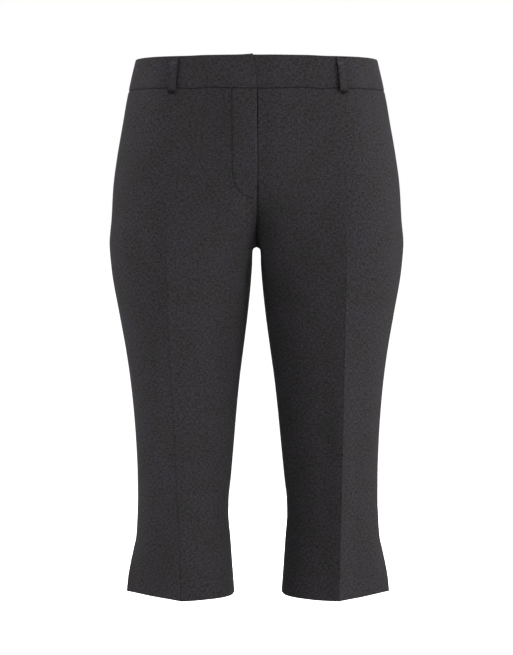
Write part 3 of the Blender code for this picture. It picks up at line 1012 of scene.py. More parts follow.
def beside_fly(drop, x):
    """1 in the narrow dip along the fly's edge, on the left front, down to where the fly ends."""
    edge = FLY_LAP_X * (1 - ease(drop, *FLY_LAP_ENDS))
    lapped = 1 - ease(drop, FLY_LAP_ENDS[0], FLY_SET_BACK_ENDS[1])
    pressed = 1 - FLY_PRESSED * ease(drop, *FLY_PRESSED_ENDS)
    return lapped * pressed * bump(x - edge - FLY_SLOT_IN, FLY_SLOT_WIDTH)


def centre_lean(drops, x):
    """How far the middle of the front leans to the wearer's left, for each row's points."""
    lean = [column(CENTRE_LEAN, LEAN_COLUMNS, "x", drop) for drop in drops]
    return np.array(lean)[:, None] * bump(x, CENTRE_LEAN_WIDTH)


def waist_dip(x):
    """How much lower than its row the waist seam lies."""
    return WAIST_DIP * ease(np.abs(x), *WAIST_DIP_ENDS)


def panel_relief(face, side, at):
    """How far the finished cloth stands off the plain form, seams and folds together."""
    closed = 1 - ease(at.drop, *VENT_OPENS)
    sewn = ease(at.drop, *FLY_LAP_ENDS) if face is FRONT else np.ones(at.drop.shape)
    depth, width = SEAM_ROLL
    edge_depth, edge_width = FLY_EDGE_ROLL if face is FRONT and side < 0 else (EDGE_ROLL, width)
    relief = folds(face, at.x, at.drop)
    relief -= mix(EDGE_ROLL, depth, closed) * bump(at.from_side, width)
    roll = mix(edge_depth, depth, sewn) * (1 - bump(at.drop - CROTCH_DROP, ARCH_PLAIN))
    relief -= roll * bump(at.to_inner, mix(edge_width, width, sewn))
    relief += ridge(at.from_side, SWELL) * ease(at.drop, *SIDE_SWELL_ENDS)
    relief += ridge(at.to_inner, SWELL) * ease(at.drop, *INSEAM_SWELL_ENDS)
    for distance, joined in ((at.from_side, closed), (at.to_inner, sewn)):
        relief += joined * pucker(at.drop + PUCKER_SHIFT * side, distance)
    from_top = at.drop - BAND_HEIGHT
    relief += pucker(at.x, from_top) - ridge(from_top, SEAM_ROLL)
    relief -= EDGE_ROLL * bump(HEM_DROP - at.drop, EDGE_WIDTH)
    relief += ridge(at.to_crease, CREASE_RIDGE) * ease(at.drop, *CREASE_RIDGE_ENDS)
    if face is BACK:
        relief -= ridge(at.to_crease, DART) * (1 - ease(at.drop, *DART_ENDS))
    elif side < 0:
        relief -= ridge(to_stitching(at.x, at.drop), STITCH_DENT)
    else:
        relief -= FLY_SLOT * beside_fly(at.drop, at.x)
    return relief


def loop_shadow(x, drop):
    """The shadow of the front's belt loops, on their side nearer the middle and below them."""
    shadow = np.zeros(x.shape)
    for node_name, _, top_x, bottom_x in LOOPS:
        if node_name not in LOOP_SHADE:
            continue
        middle = mix(top_x, bottom_x, (drop - LOOP_TOP_DROP) / LOOP_LENGTH)
        off = (middle - x) * math.copysign(1, top_x) - LOOP_WIDTH / 2
        beside = ridge(np.maximum(off, 0), LOOP_SHADE[node_name]) * (off > -LOOP_SHADE_UNDER)
        beside = beside * (1 - ease(drop, *LOOP_SHADE_ENDS))
        below = LOOP_END_SHADE * (1 - ease(drop, *LOOP_END_DROPS)) * (drop > LOOP_SHADE_ENDS[0])
        below = below * (1 - ease(np.abs(x - middle), *LOOP_END_SIDES))
        shadow = np.maximum(shadow, np.maximum(beside, below))
    return shadow


def finished_shade(face, x, drop, shade):
    """A shade with the front's patches of painted shade and painted light added, and its loops'
    painted shadow where that is darker.
    """
    if face is BACK:
        return shade
    # Soft patches of painted shade and painted light.
    for patch in rows_of(PAINTED_SHADE_PATCH_COLUMNS, PAINTED_SHADE_PATCHES):
        across = bump(x - patch.x, patch.across)
        shade = shade + patch.darker * across * bump(drop - patch.drop, patch.down)
    shadow = loop_shadow(x, drop)
    return np.where(shadow > 0, np.maximum(shade, shadow), shade)


def panel_shade(face, side, at):
    """How much painted shade darkens a panel at each point, or painted light lightens it."""
    x, drop = at.x, at.drop
    leg_edge = np.array([max(HALF_GAP, inseam(level, "inner_x")) for level in drop[:, 0]])
    from_edge = np.abs(x) - leg_edge[:, None]
    sewn = ease(drop, *FLY_LAP_ENDS) if face is FRONT else 1.0
    paler = 1 - INSEAM_PALER * ease(drop, CROTCH_DROP, INSEAM_SWELL_ENDS[0])
    # Painted shade in the side seam and the inseam.
    shade = ridge(at.from_side, SEAM_SHADE) * (1 - ease(drop, *VENT_OPENS))
    shade += ridge(at.to_inner, SEAM_SHADE) * sewn * paler
    # Painted shade under the waist seam.
    shade = np.maximum(shade, ridge(drop - BAND_HEIGHT, WAIST_SHADE))
    if face is FRONT and side < 0:
        # Painted shade along the pressed crease.
        pressed = ridge(at.to_crease - CREASE_SHADE_OFF, CREASE_SHADE)
        shade = np.maximum(shade, pressed * ease(drop, *CREASE_RIDGE_ENDS))
        # Painted shade along the fly's stitched line.
        shade = np.maximum(shade, ridge(to_stitching(x, drop), STITCH_SHADE))
        # Painted highlight along the fly's folded edge.
        painted_highlight = ridge(at.to_inner - FLY_EDGE_LIGHT_IN, FLY_EDGE_LIGHT)
        shade += painted_highlight * (1 - ease(drop, *CROTCH_SHADE_ENDS[0]))
    elif face is FRONT:
        # Painted shadow in the dip beside the fly's edge.
        shade = np.maximum(shade, FLY_SHADE * beside_fly(drop, x))
        # Painted shade on the inner leg, facing away from the light.
        starting, widening = (ease(drop, *ends) for ends in INSEAM_SHADE_ENDS)
        fading = np.exp(-at.to_inner / mix(*INSEAM_SHADE_WIDTHS, widening))
        shade = np.maximum(shade, INSEAM_SHADE * starting * fading)
        # Painted shade at the leg's inner edge.
        at_edge = ridge(from_edge, LEG_EDGE_SHADE) * ease(drop, *LEG_EDGE_SHADE_ENDS)
        shade = np.maximum(shade, at_edge)
    # Painted shade deep in the crotch.
    fading = np.exp(-np.abs(x) / CROTCH_SHADE_WIDTHS[0 if side > 0 else 1])
    shade = np.maximum(shade, CROTCH_SHADE * spell(drop, *CROTCH_SHADE_ENDS) * fading)
    if face is FRONT and side < 0:
        # Painted light on the inner thigh near the crotch, lifting the shade that the other leg casts
        # there.
        shade += ridge(from_edge, THIGH_PAINTED_LIGHT) * spell(drop, *THIGH_PAINTED_LIGHT_ENDS)
    return finished_shade(face, x, drop, shade)


def doubled(distance, reach):
    """1 within a turning and 0 past it."""
    return 1 - ease(distance, reach - TURNING_STEP, reach + TURNING_STEP)


def panel_thickness(face, side, at):
    """The cloth's thickness at each point, with what is turned in behind it."""
    vent = ease(at.drop, *VENT_FACING_ENDS) * doubled(at.from_side, VENT_FACING)
    turned = np.maximum(doubled(at.from_side, ALLOWANCE), vent)
    turned = np.maximum(turned, doubled(HEM_DROP - at.drop, HEM_TURNING))
    inner = doubled(at.to_inner, ALLOWANCE)
    if face is FRONT:
        below_fly = ease(at.drop, *FLY_FACING_ENDS)
        inner = inner * below_fly
        if side < 0:
            inner = np.maximum(inner, doubled(at.to_inner, FLY_FACING) * (1 - below_fly))
    return CLOTH + TURNING * np.maximum(turned, inner)


# -------- Materials

# Grains a metre, across the cloth and down it: the spun yarns either way, single fibres and slow
# patches. Then the parts of each one's range that go from dark to light.
WARP_GRAINS = (560, 225)
WEFT_GRAINS = (205, 560)
FIBRE_GRAINS = (2600, 1000)
PATCH_GRAINS = (24, 22)
GRAIN_ROUGHNESS = 0.6
FLECK_RANGE = (0.8, 1.2)
FIBRE_RANGE = (0.3, 0.7)
PATCH_RANGE = (0.4, 0.7)
PATCH_LIGHT = 0.1
FIBRE_SHARE = 0.14
SUITING_ROUGHNESS = (0.82, 0.96)

# The weave's relief: the twill's lines and yarns over the fibres, and its strength and depth in
# metres.
TWILL = {"Scale": 900.0, "Distortion": 1.2, "Detail Scale": 2.0}
TWILL_HEIGHT = 0.6
YARN_HEIGHT = 1.2
WEAVE_RELIEF = (0.5, 0.0001)
TAPE_RIBS = 260
TAPE_RELIEF = (0.6, 0.0002)

CHARCOAL_DARK = (0.0206, 0.0188, 0.0226)
CHARCOAL_LIGHT = (0.0556, 0.0508, 0.0608)
BROWN_DARK = (0.0201, 0.0190, 0.0194)
BROWN_LIGHT = (0.0560, 0.0528, 0.0540)
NAP = (0.8, 0.78, 0.82)
THREAD_GREY = (0.022, 0.021, 0.023)
THREAD_DARK = (0.009, 0.0085, 0.0095)
TAPE_BLACK = (0.014, 0.014, 0.015)
NICKEL = (0.52, 0.51, 0.5)
COIL_DARKER = 0.5

# Threads are twisted, and metal is rolled along its length: more grains a metre.
TWIST_GRAINS = (3000, 3000)
ROLLING_GRAINS = (500, 9000)
ROLLING_DARKER = 0.8
ROLLING_ROUGHER = 0.15
WHITE = (1, 1, 1)


def feed(tree, made, inputs):
    """Gives each of a node's inputs its value, or a link if that is another node's output."""
    for key, value in inputs.items():
        socket = made.inputs[key]
        if isinstance(value, bpy.types.NodeSocket):
            tree.links.new(value, socket)
        else:
            socket.default_value = (*value, 1) if socket.type == "RGBA" else value


def node(tree, kind, inputs=None, **settings):
    """A shader node with its settings and inputs."""
    made = tree.nodes.new(kind)
    for key, value in settings.items():
        setattr(made, key, value)
    feed(tree, made, inputs or {})
    return made


def shader_of(name):
    made = bpy.data.materials.new(name)
    made.use_nodes = True
    tree = made.node_tree
    return made, tree, tree.nodes["Principled BSDF"]


def blend_colours(tree, factor, first, second):
    """A mix of two colours, each a value or a socket."""
    inputs = {0: factor, 6: first, 7: second}
    return node(tree, "ShaderNodeMix", inputs, data_type="RGBA").outputs[2]


def ranged(tree, value, side, low, high):
    """A value spread "From" low and high to 0 and 1, or from 0 and 1 "To" low and high."""
    inputs = {"Value": value, f"{side} Min": low, f"{side} Max": high}
    return node(tree, "ShaderNodeMapRange", inputs).outputs["Result"]


def grain(tree, source, scale, detail=2.0):
    """Noise over a surface, with its own number of grains a metre across and down."""
    place = node(tree, "ShaderNodeMapping", {"Vector": source, "Scale": (*scale, 1)})
    inputs = {"Scale": 1.0, "Detail": detail, "Roughness": GRAIN_ROUGHNESS}
    inputs["Vector"] = place.outputs["Vector"]
    return node(tree, "ShaderNodeTexNoise", inputs).outputs["Fac"]


def math_node(tree, operation, *values):
    inputs = dict(enumerate(values))
    return node(tree, "ShaderNodeMath", inputs, operation=operation).outputs["Value"]


def bands(tree, source, direction, inputs):
    """Even lines across a surface."""
    inputs = {"Vector": source, **inputs}
    kind = "ShaderNodeTexWave"
    return node(tree, kind, inputs, wave_type="BANDS", bands_direction=direction).outputs["Fac"]


def relief_of(tree, height, size):
    """The direction of a surface with a relief of that strength and depth."""
    inputs = {"Strength": size[0], "Distance": size[1], "Height": height}
    return node(tree, "ShaderNodeBump", inputs).outputs["Normal"]


def suiting():
    """Charcoal melange: light and dark fibres spun together, in a fine twill with a soft nap."""
    made, tree, shader = shader_of("charcoal_suiting")
    flat = node(tree, "ShaderNodeUVMap", uv_map=CLOTH_MAP).outputs["UV"]
    yarns = math_node(tree, "ADD", grain(tree, flat, WARP_GRAINS), grain(tree, flat, WEFT_GRAINS))
    flecks = ranged(tree, yarns, "From", *FLECK_RANGE)
    fibres = ranged(tree, grain(tree, flat, FIBRE_GRAINS, detail=1.0), "From", *FIBRE_RANGE)
    patches = ranged(tree, grain(tree, flat, PATCH_GRAINS, detail=3.0), "From", *PATCH_RANGE)
    spun = math_node(tree, "MULTIPLY", flecks, 1 - FIBRE_SHARE)
    spun = math_node(tree, "MULTIPLY_ADD", fibres, FIBRE_SHARE, spun)
    dark = blend_colours(tree, patches, BROWN_DARK, CHARCOAL_DARK)
    light = blend_colours(tree, patches, BROWN_LIGHT, CHARCOAL_LIGHT)
    # The mesh's painted shade and painted light darken or lighten the colour, with the slow patches'
    # random tone over them.
    shade = node(tree, "ShaderNodeAttribute", attribute_name=CLOTH_SHADE).outputs["Fac"]
    lightness = math_node(tree, "SUBTRACT", 1.0 - PATCH_LIGHT / 2, shade)
    lightness = math_node(tree, "MULTIPLY_ADD", patches, PATCH_LIGHT, lightness)
    inputs = {0: blend_colours(tree, spun, dark, light), "Scale": lightness}
    lit = node(tree, "ShaderNodeVectorMath", inputs, operation="SCALE")
    twill = bands(tree, flat, "DIAGONAL", TWILL)
    height = math_node(tree, "MULTIPLY_ADD", twill, TWILL_HEIGHT, fibres)
    height = math_node(tree, "MULTIPLY_ADD", flecks, YARN_HEIGHT, height)
    look = {
        "Base Color": lit.outputs["Vector"],
        "Normal": relief_of(tree, height, WEAVE_RELIEF),
        "Roughness": ranged(tree, spun, "To", *SUITING_ROUGHNESS),
        "Specular IOR Level": 0.02,
        "Sheen Weight": 0.01,
        "Sheen Roughness": 0.5,
        "Sheen Tint": NAP,
    }
    feed(tree, shader, look)
    return made


def thread():
    """Tone-on-tone sewing thread, a little smoother than the cloth."""
    made, tree, shader = shader_of("sewing_thread")
    place = node(tree, "ShaderNodeTexCoord").outputs["Object"]
    twist = ranged(tree, grain(tree, place, TWIST_GRAINS), "From", *FIBRE_RANGE)
    colour = blend_colours(tree, twist, THREAD_DARK, THREAD_GREY)
    feed(tree, shader, {"Base Color": colour, "Roughness": 0.7})
    return made


def zip_tape():
    """Black tape with fine ribs down its length."""
    made, tree, shader = shader_of("zip_tape")
    flat = node(tree, "ShaderNodeUVMap", uv_map=CLOTH_MAP).outputs["UV"]
    ribs = bands(tree, flat, "X", {"Scale": TAPE_RIBS})
    look = {
        "Base Color": blend_colours(tree, ribs, TAPE_BLACK, THREAD_GREY),
        "Normal": relief_of(tree, ribs, TAPE_RELIEF),
        "Roughness": 0.85,
    }
    feed(tree, shader, look)
    return made


def metal(name, colour, roughness):
    """Pressed metal with faint rolling marks and handling wear."""
    made, tree, shader = shader_of(name)
    place = node(tree, "ShaderNodeTexCoord").outputs["Object"]
    marks = ranged(tree, grain(tree, place, ROLLING_GRAINS), "From", *FIBRE_RANGE)
    darker = tuple(ROLLING_DARKER * value for value in colour)
    look = {
        "Base Color": blend_colours(tree, marks, darker, colour),
        "Roughness": ranged(tree, marks, "To", roughness, roughness + ROLLING_ROUGHER),
        "Metallic": 1.0,
    }
    feed(tree, shader, look)
    return made


SUITING = suiting()
THREAD = thread()
ZIP_TAPE = zip_tape()
STEEL = metal("hook_steel", NICKEL, roughness=0.3)
COIL = metal("zip_metal", tuple(COIL_DARKER * value for value in NICKEL), roughness=0.38)


# -------- Pieces


def install(piece, node_name):
    """The piece hangs from the root and stands for a solid, which is hidden."""
    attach(piece, "root")
    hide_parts(node_name)


def add_on(piece):
    """A small piece that belongs to another."""
    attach(piece, "root")
    return piece


def panel(face, side):
    """A front or back panel of one leg, from the band down to the hem."""
    node_name = f"{face.name}_{'left' if side > 0 else 'right'}"
    drops = levels(PANEL_ROWS)
    points, at = panel_grid(face, side, drops)
    points[0, :, 2] -= SEAM_GAP
    outwards, behind = (0, face.sign, 0), (0, -face.sign, 0)
    at_inner, below = bump(at.to_inner, SEAM_HOLD), at.drop >= CROTCH_DROP
    seams = (
        (0, at_inner * ~below),
        (1, at_inner * below),
        (1, bump(at.from_side, SEAM_HOLD) * (at.drop < VENT_TOP_DROP)),
        (2, bump(at.drop - BAND_HEIGHT, SEAM_HOLD)),
    )
    part = int(np.argmax(drops >= CROTCH_DROP))
    relief = panel_relief(face, side, at)
    points += normals(points, outwards, seams, part) * relief[..., None]
    at_arch = points[part, :, 0]
    points[part, :, 0] = np.where(np.abs(at_arch) < ARCH_NEAR, -side * ARCH_PAST, at_arch)
    if face is FRONT:
        points[..., 0] += centre_lean(drops, points[..., 0])
    near_band = 1 - ease(at.drop, BAND_HEIGHT, BAND_HEIGHT + WAIST_DIP_REACH)
    points[..., 2] -= waist_dip(points[..., 0]) * near_band
    outer = ease(np.abs(points[..., 0]), *HEM_FALL_ENDS)
    points[..., 2] -= HEM_FALL * outer * ease(at.drop, HEM_FALL_FROM, HEM_DROP)
    inner_lip = np.where(below[..., None], behind, (-side, 0, 0))
    piece = shell(
        f"cloth_{node_name}",
        points,
        normals(points, outwards, seams, part),
        panel_thickness(face, side, at),
        SUITING,
        np.stack((side * at.to_crease, -at.drop), -1),
        lips=((SHUT, (0, 0, 1)), (HEM_LIP, None), (SHUT, behind), (SHUT, inner_lip)),
        shade=panel_shade(face, side, at),
    )
    stitches = [fly_stitching()] if node_name == "front_right" else []
    install(piece, node_name)


def band_lines(drop):
    """The three lines round the waist at a level: the back's, the wearer's left and the right."""
    back = np.vstack((BACK.row(drop, DENSE, -1), BACK.row(drop, DENSE, 1)[-2::-1]))
    share = drop / BAND_HEIGHT
    end = mix(BAND_LAP_TOP_X, FLY_LAP_X, share)
    right = FRONT.row(drop, DENSE, -1)
    right = np.vstack((right[right[:, 0] < end], FRONT.spots(drop, np.array((end,)))))
    right[:, 2] += BAND_LAP_RISE * (1 - share) * near_fly(-right[:, 0])
    under = FRONT.spots(drop, np.linspace(0, -UNDERLAP_WIDTH, UNDERLAP_STEPS))
    left = np.vstack((FRONT.row(drop, DENSE, 1), under))
    left[:, 1] += FLY_SET_BACK * near_fly(left[:, 0])
    return back, left, right


def band_grid(lines):
    """The points of a piece of the band, a row on each line, and how far along it each lies."""
    edge = np.array(BAND_EDGE_STOPS)
    spans = math.ceil((distances(lines[-1])[-1] - 2 * edge[-1]) / BAND_STEP)
    points, along_rows = [], []
    for line in lines:
        along = distances(line)
        middle = between(edge[-1], along[-1] - edge[-1], spans)
        along_rows.append(np.concatenate((edge, middle, along[-1] - edge[::-1])))
        points.append(resample(line, along, along_rows[-1]))
    return np.array(points), np.array(along_rows)


def waistband():
    """The back is one piece from side to side, and the two front ends lap at the middle."""
    drops = levels(BAND_ROWS)
    lines_of_pieces = zip(*(band_lines(drop) for drop in drops))
    for n, (end, lines) in enumerate(zip(("back", "left", "right"), lines_of_pieces)):
        node_name, face = f"waistband_{end}", BACK if end == "back" else FRONT
        points, along = band_grid(lines)
        x = points[..., 0].copy()
        drop = np.repeat(drops[:, None], points.shape[1], 1)
        share, to_seam, to_end = drop / BAND_HEIGHT, BAND_HEIGHT - drop, along[:, -1:] - along
        outwards = (0, face.sign, 0)
        seams = ((1, bump(along, SEAM_HOLD)), (2, bump(to_seam, SEAM_HOLD)))
        relief = pucker(x, to_seam) - ridge(to_seam, SEAM_ROLL)
        waver = waves(BAND_WAVER_PACE * x + BAND_WAVER_SHIFT * n)
        relief += BAND_WAVER * waver * np.sin(math.pi * share)
        relief -= EDGE_ROLL * bump(drop, SEAM_ROLL[1])
        relief -= EDGE_ROLL * (bump(along, EDGE_WIDTH) + bump(to_end, EDGE_WIDTH))
        points += normals(points, outwards, seams) * relief[..., None]
        points[..., 2] -= waist_dip(points[..., 0]) * share
        if face is FRONT:
            rise = BAND_CROWN * (1 - ease(np.abs(points[..., 0]), *BAND_CROWN_ENDS))
            if end == "right":
                rise += ridge(to_end, BAND_CORNER)
            points[..., 2] += rise * (1 - share)
        piece = shell(
            f"cloth_{node_name}",
            points,
            normals(points, outwards, seams),
            BAND_CLOTH,
            SUITING,
            np.stack((along / (along + to_end) * along[-1, -1], -drop), -1),
            lips=BAND_LIPS,
            # Painted shade under the band's seam, with the patches and the loops' painted shadow.
            shade=finished_shade(face, x, drop, ridge(to_seam, WAIST_SHADE)),
        )
        install(piece, node_name)


def half_turn(reach, low, high):
    """Points round a fold, as distance from its outer edge and height, from low up to high."""
    angles = np.radians(np.linspace(-90, 90, LOOP_TURN_STEPS))
    heights = mix(low, high, 0.5 + np.sin(angles) / 2)
    return np.column_stack((reach * (1 - np.cos(angles)), heights))


def loop_profile():
    """A belt loop's middle line, as distance down the loop and height over the band.

    Both ends are folded under and sewn down, and the strap stands off the band between them.
    """
    low = SEAM_GAP + LOOP_CLOTH / 2
    high = low + 2 * LOOP_TOP_RADIUS
    rise = LOOP_STAND_OFF - LOOP_CLOTH / 2
    turned = LOOP_LENGTH - LOOP_BOTTOM_TURN
    down = between(LOOP_TOP_RADIUS, turned, LOOP_STRAP_STEPS)
    bottom = half_turn(LOOP_BOTTOM_TURN, low, high + rise)[::-1]
    return np.vstack(
        (
            ((LOOP_FLAP, low), (LOOP_FLAP / 2, low)),
            half_turn(LOOP_TOP_RADIUS, low, high),
            np.column_stack((down, high + rise * ease(down, *LOOP_RAISED_ENDS))),
            (LOOP_LENGTH, 0) + bottom * (-1, 1),
            ((turned - LOOP_FLAP / 2, low), (turned - LOOP_FLAP, low)),
        )
    )


def flat_grid(across, down):
    """The places on the flat cloth of a grid with straight rows and columns."""
    return np.stack(np.broadcast_arrays(across[None, :], -down[:, None]), -1)


def belt_loop(node_name, face, top_x, bottom_x):
    """A strap of doubled cloth, stitched along both edges."""
    across = np.array(LOOP_STOPS) * LOOP_WIDTH / 2
    across = np.concatenate((-across[::-1], across[1:]))
    points = []
    for down, height in loop_profile():
        drop = LOOP_TOP_DROP + down
        x = mix(top_x, bottom_x, down / LOOP_LENGTH)
        points.append(face.spots(drop, x + across) + face.outward(drop, x) * height)
    points = np.array(points)
    along = distances(points[:, len(across) // 2])
    dent = ridge(LOOP_WIDTH / 2 - np.abs(across) - LOOP_STITCH_IN, LOOP_DENT)
    outwards = (0, face.sign, 0)
    points += normals(points, outwards) * (LOOP_CLOTH / 2 - dent[:, None])
    # Painted light on the strap, and painted shade on its turned lower end and along its top fold.
    shade = mix(LOOP_LIGHT, LOOP_END_SHADE, ease(along, *(along[-1] - np.array(LOOP_FOLD_ENDS))))
    shade += ridge(along - LOOP_TOP_FOLD, LOOP_TOP_SHADE)
    piece = shell(
        f"cloth_{node_name}",
        points,
        normals(points, outwards),
        LOOP_CLOTH,
        SUITING,
        flat_grid(across, along),
        lips=LOOP_LIPS,
        shade=shade[:, None],
    )
    tacks = add_on(loop_tacks(node_name, face, top_x))
    install(piece, node_name)


def threads(name, stitches):
    """One mesh of many short threads. Each is its two ends and the direction out of the cloth."""
    angles = np.linspace(0, 2 * math.pi, THREAD_SIDES, endpoint=False)[:, None]
    vertices, faces = [], []
    for a, b, normal in stitches:
        sideways = np.cross((b - a) / np.linalg.norm(b - a), normal)
        around = THREAD_RADIUS * (np.cos(angles) * sideways + np.sin(angles) * normal)
        start = len(vertices)
        for share, width, sunk in THREAD_RINGS:
            vertices += list(mix(a, b, share) - THREAD_RADIUS * sunk * normal + width * around)
        rings = np.arange(start, len(vertices)).reshape(-1, THREAD_SIDES)
        beside = np.roll(rings, -1, axis=1)
        sides = np.stack((rings[:-1], beside[:-1], beside[1:], rings[1:]), -1)
        faces += [*sides.reshape(-1, 4), rings[0, ::-1], rings[-1]]
    return mesh_object(name, vertices, faces, THREAD)


def on_front(x, drop, height):
    """A spot a height over the front, and the direction out of the cloth there."""
    normal = FRONT.outward(drop, x)
    return FRONT.spots(drop, np.array((x,)))[0] + normal * height, normal


def fly_stitching():
    """The stitches that hold the fly's facing, sunk in their line."""
    pitch = STITCH_LENGTH + STITCH_SPACE
    path = stitch_path(pitch)
    stitches = []
    for start, following in zip(path[:-1], path[1:]):
        a, normal = on_front(*start, STITCH_HEIGHT)
        b, _ = on_front(*mix(start, following, STITCH_LENGTH / pitch), STITCH_HEIGHT)
        stitches.append((a, b, normal))
    return add_on(threads("fly_stitching", stitches))


def loop_tacks(node_name, face, top_x):
    """Close stitches across the top of a belt loop. Its lower end is sewn down from behind."""
    drop = LOOP_TOP_DROP + LOOP_TACK_IN
    normal = face.outward(drop, top_x)
    reach = LOOP_WIDTH / 2 - LOOP_STITCH_IN
    slant_x, slant_drop = LOOP_TACK_SLANT
    stitches = []
    for x in np.linspace(top_x - reach, top_x + reach, LOOP_TACK_COUNT):
        ends = ((drop - slant_drop, x - slant_x), (drop + slant_drop, x + slant_x))
        a, b = (face.spots(at_drop, np.array((at_x,)))[0] for at_drop, at_x in ends)
        stitches.append((a + normal * LOOP_TACK_HEIGHT, b + normal * LOOP_TACK_HEIGHT, normal))
    return threads(f"{node_name}_tacks", stitches)


def flat_piece(name, x_ends, drop_ends, depth, thickness, finish):
    """A piece that follows the front a depth below its surface."""
    x, drops = np.linspace(*x_ends, FLAT_COLUMNS), np.linspace(*drop_ends, FLAT_ROWS)
    middle = float(np.mean(x_ends))
    points = [FRONT.spots(drop, x) - FRONT.outward(drop, middle) * depth for drop in drops]
    points = np.array(points)
    out = normals(points, (0, FRONT.sign, 0))
    return shell(name, points, out, thickness, finish, flat_grid(x, drops))


def block_corners(part, x, drop, depth):
    """The corners of a small block along the front, about a spot at a depth below its surface."""
    x0, x1, drop0, drop1, deeper, thickness = part
    return [
        on_front(x + across, drop + down, -(depth + deep))[0]
        for deep in (deeper, deeper + thickness)
        for down in (drop0, drop1)
        for across in (x0, x1)
    ]


def blocks(name, parts, finish, soften):
    """One mesh of several small blocks with softened edges."""
    vertices, faces = [], []
    for corners in parts:
        faces += [tuple(len(vertices) + n for n in face) for face in BOX_FACES]
        vertices += corners
    piece = mesh_object(name, vertices, faces, finish)
    rounded = piece.modifiers.new("rounded", "BEVEL")
    rounded.width = soften * MM
    rounded.segments = 2
    return piece


def closed_zip():
    """The tape with its row of closed teeth, and the slider and pull tab at the top."""
    depth = FLY_SET_BACK + CLOTH + SEAM_GAP
    tape_depth = depth + TAPE_INSET
    tape = flat_piece("zip_tapes", ZIP_X, ZIP_DROPS, tape_depth, ZIP_THICKNESS / 2, ZIP_TAPE)
    middle, (top, bottom) = sum(ZIP_X) / 2, ZIP_DROPS
    width, height = TOOTH_SIZE
    tooth = (-width / 2, width / 2, 0, height, 0, ZIP_THICKNESS)
    teeth = []
    for n in range(int((bottom - top - 2 * ZIP_STOP_IN) / TOOTH_PITCH)):
        x = middle + width / 4 * (1 if n % 2 else -1)
        teeth.append(block_corners(tooth, x, top + ZIP_STOP_IN + n * TOOTH_PITCH, depth))
    chain = blocks("zip_teeth", teeth, COIL, TOOTH_SOFT)
    slider = [block_corners(part, middle, top + SLIDER_DROP, depth) for part in SLIDER_PARTS]
    slider = blocks("zip_slider", slider, COIL, SLIDER_SOFT)
    for piece in (chain, slider):
        add_on(piece)
    install(tape, "fly_zip")


def fastenings():
    """The zip, its shield, and the hook and bar at the waist."""
    closed_zip()
    depth = FLY_SET_BACK + CLOTH + ZIP_THICKNESS + 2 * SEAM_GAP
    shield = flat_piece("cloth_fly_shield", SHIELD_X, SHIELD_DROPS, depth, CLOTH, SUITING)
    install(shield, "fly_shield")
    depth = BAND_CLOTH + SEAM_GAP
    for node_name, x, parts in (("waist_hook", HOOK_X, HOOK_PARTS), ("waist_bar", BAR_X, BAR_PARTS)):
        plates = [block_corners(part, x, PLATE_DROP, depth) for part in parts]
        install(blocks(f"steel_{node_name}", plates, STEEL, PLATE_SOFT), node_name)


# -------- The stage

CAMERA_AWAY = 3.37
CAMERA_HEIGHT = -0.18525
FOCAL_PIXELS = 2246.7
IMAGE_WIDTH_PIXELS = 513
SENSOR_WIDTH = 36.0

# The camera looks a little down: level sight lies this far above the middle of its picture.
LEVEL_PIXELS = 127.5
CAMERA_TILT = math.atan(LEVEL_PIXELS / FOCAL_PIXELS)

FLOOR_LEVEL = -1.09
FLOOR_RADIUS = 40.0
FLOOR_SIDES = 96
FLOOR_LOOK = {
    "Base Color": (0.86, 0.86, 0.86),
    "Roughness": 0.9,
    "Emission Color": WHITE,
    "Emission Strength": 1.0,
}

# Lamps: the direction they shine from, round from the front towards the wearer's left and up
# from level, in degrees, then their distance and size in metres, and their power in watts.
LAMP_COLUMNS = ("name", "round", "up", "away", "size", "power")
LAMPS = (
    ("left_back", -105, 8, 3.0, 1.4, 22),
    ("left_side", -90, 8, 3.0, 1.4, 39),
    ("left_fill", -40, 8, 3.0, 1.4, 24),
    ("front", 20, 8, 3.0, 1.4, 16),
    ("key", 57, 8, 3.0, 1.4, 54),
    ("right_side", 80, 8, 3.0, 1.4, 17),
    ("right_back", 105, 8, 3.0, 1.4, 28),
    ("back", 180, 15, 3.4, 2.4, 60),
    ("top", 180, 80, 3.0, 1.4, 40),
    ("waist", 180, 89, 1.0, 0.3, 6),
)
WORLD_GREY = (0.165, 0.165, 0.165)


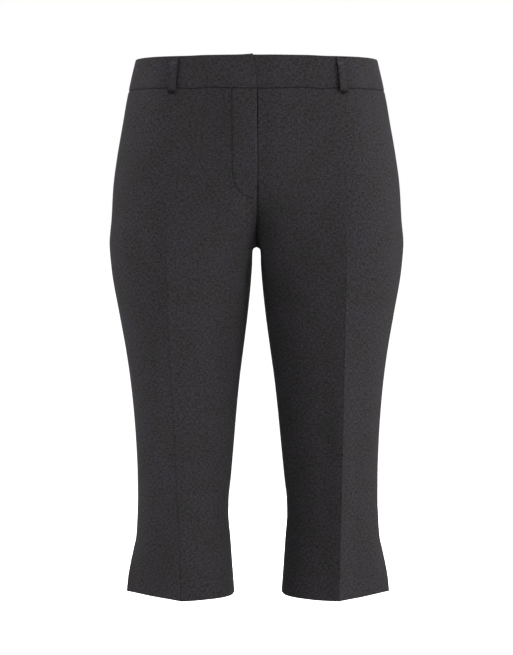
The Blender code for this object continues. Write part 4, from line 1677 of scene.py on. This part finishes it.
def lay_floor():
    """A floor that looks white and throws no colour back on the cloth."""
    bpy.ops.mesh.primitive_circle_add(
        vertices=FLOOR_SIDES, radius=FLOOR_RADIUS, fill_type="NGON", location=(0, 0, FLOOR_LEVEL)
    )
    floor = bpy.context.object
    floor.name = "floor"
    made, tree, shader = shader_of("pale_floor")
    feed(tree, shader, FLOOR_LOOK)
    floor.data.materials.append(made)
    floor.visible_diffuse = False


def surround():
    """Grey light from all round, which the camera sees as white."""
    world = bpy.data.worlds.new("studio")
    bpy.context.scene.world = world
    world.use_nodes = True
    tree = world.node_tree
    light = tree.nodes["Background"]
    feed(tree, light, {"Color": WORLD_GREY})
    seen = node(tree, "ShaderNodeBackground", {"Color": WHITE})
    to_camera = node(tree, "ShaderNodeLightPath").outputs["Is Camera Ray"]
    inputs = {0: to_camera, 1: light.outputs[0], 2: seen.outputs[0]}
    both = node(tree, "ShaderNodeMixShader", inputs)
    feed(tree, tree.nodes["World Output"], {"Surface": both.outputs[0]})


def hang_lamps():
    middle = (Vector(CAD_BOX[0]) + Vector(CAD_BOX[1])) / 2
    for lamp in rows_of(LAMP_COLUMNS, LAMPS):
        light = bpy.data.lights.new(lamp.name, "AREA")
        light.shape = "DISK"
        light.size = lamp.size
        light.energy = lamp.power
        made = link(lamp.name, light)
        around, up = math.radians(lamp.round), math.radians(lamp.up)
        towards = Vector(
            (math.sin(around) * math.cos(up), -math.cos(around) * math.cos(up), math.sin(up))
        )
        made.location = middle + towards * lamp.away
        made.rotation_euler = towards.to_track_quat("Z", "Y").to_euler()


def place_camera():
    camera = bpy.data.cameras.new("camera")
    camera.sensor_width = SENSOR_WIDTH
    camera.sensor_fit = "HORIZONTAL"
    camera.lens = FOCAL_PIXELS / IMAGE_WIDTH_PIXELS * SENSOR_WIDTH
    made = link("camera", camera)
    made.location = (0, -CAMERA_AWAY, CAMERA_HEIGHT)
    made.rotation_euler = (math.pi / 2 - CAMERA_TILT, 0, 0)
    bpy.context.scene.camera = made
    bpy.context.scene.view_settings.view_transform = "Standard"


def main():
    for face in (FRONT, BACK):
        for side in (1, -1):
            panel(face, side)
    waistband()
    for node_name, face_name, top_x, bottom_x in LOOPS:
        belt_loop(node_name, FACES[face_name], top_x, bottom_x)
    fastenings()
    lay_floor()
    surround()
    hang_lamps()
    place_camera()


main()
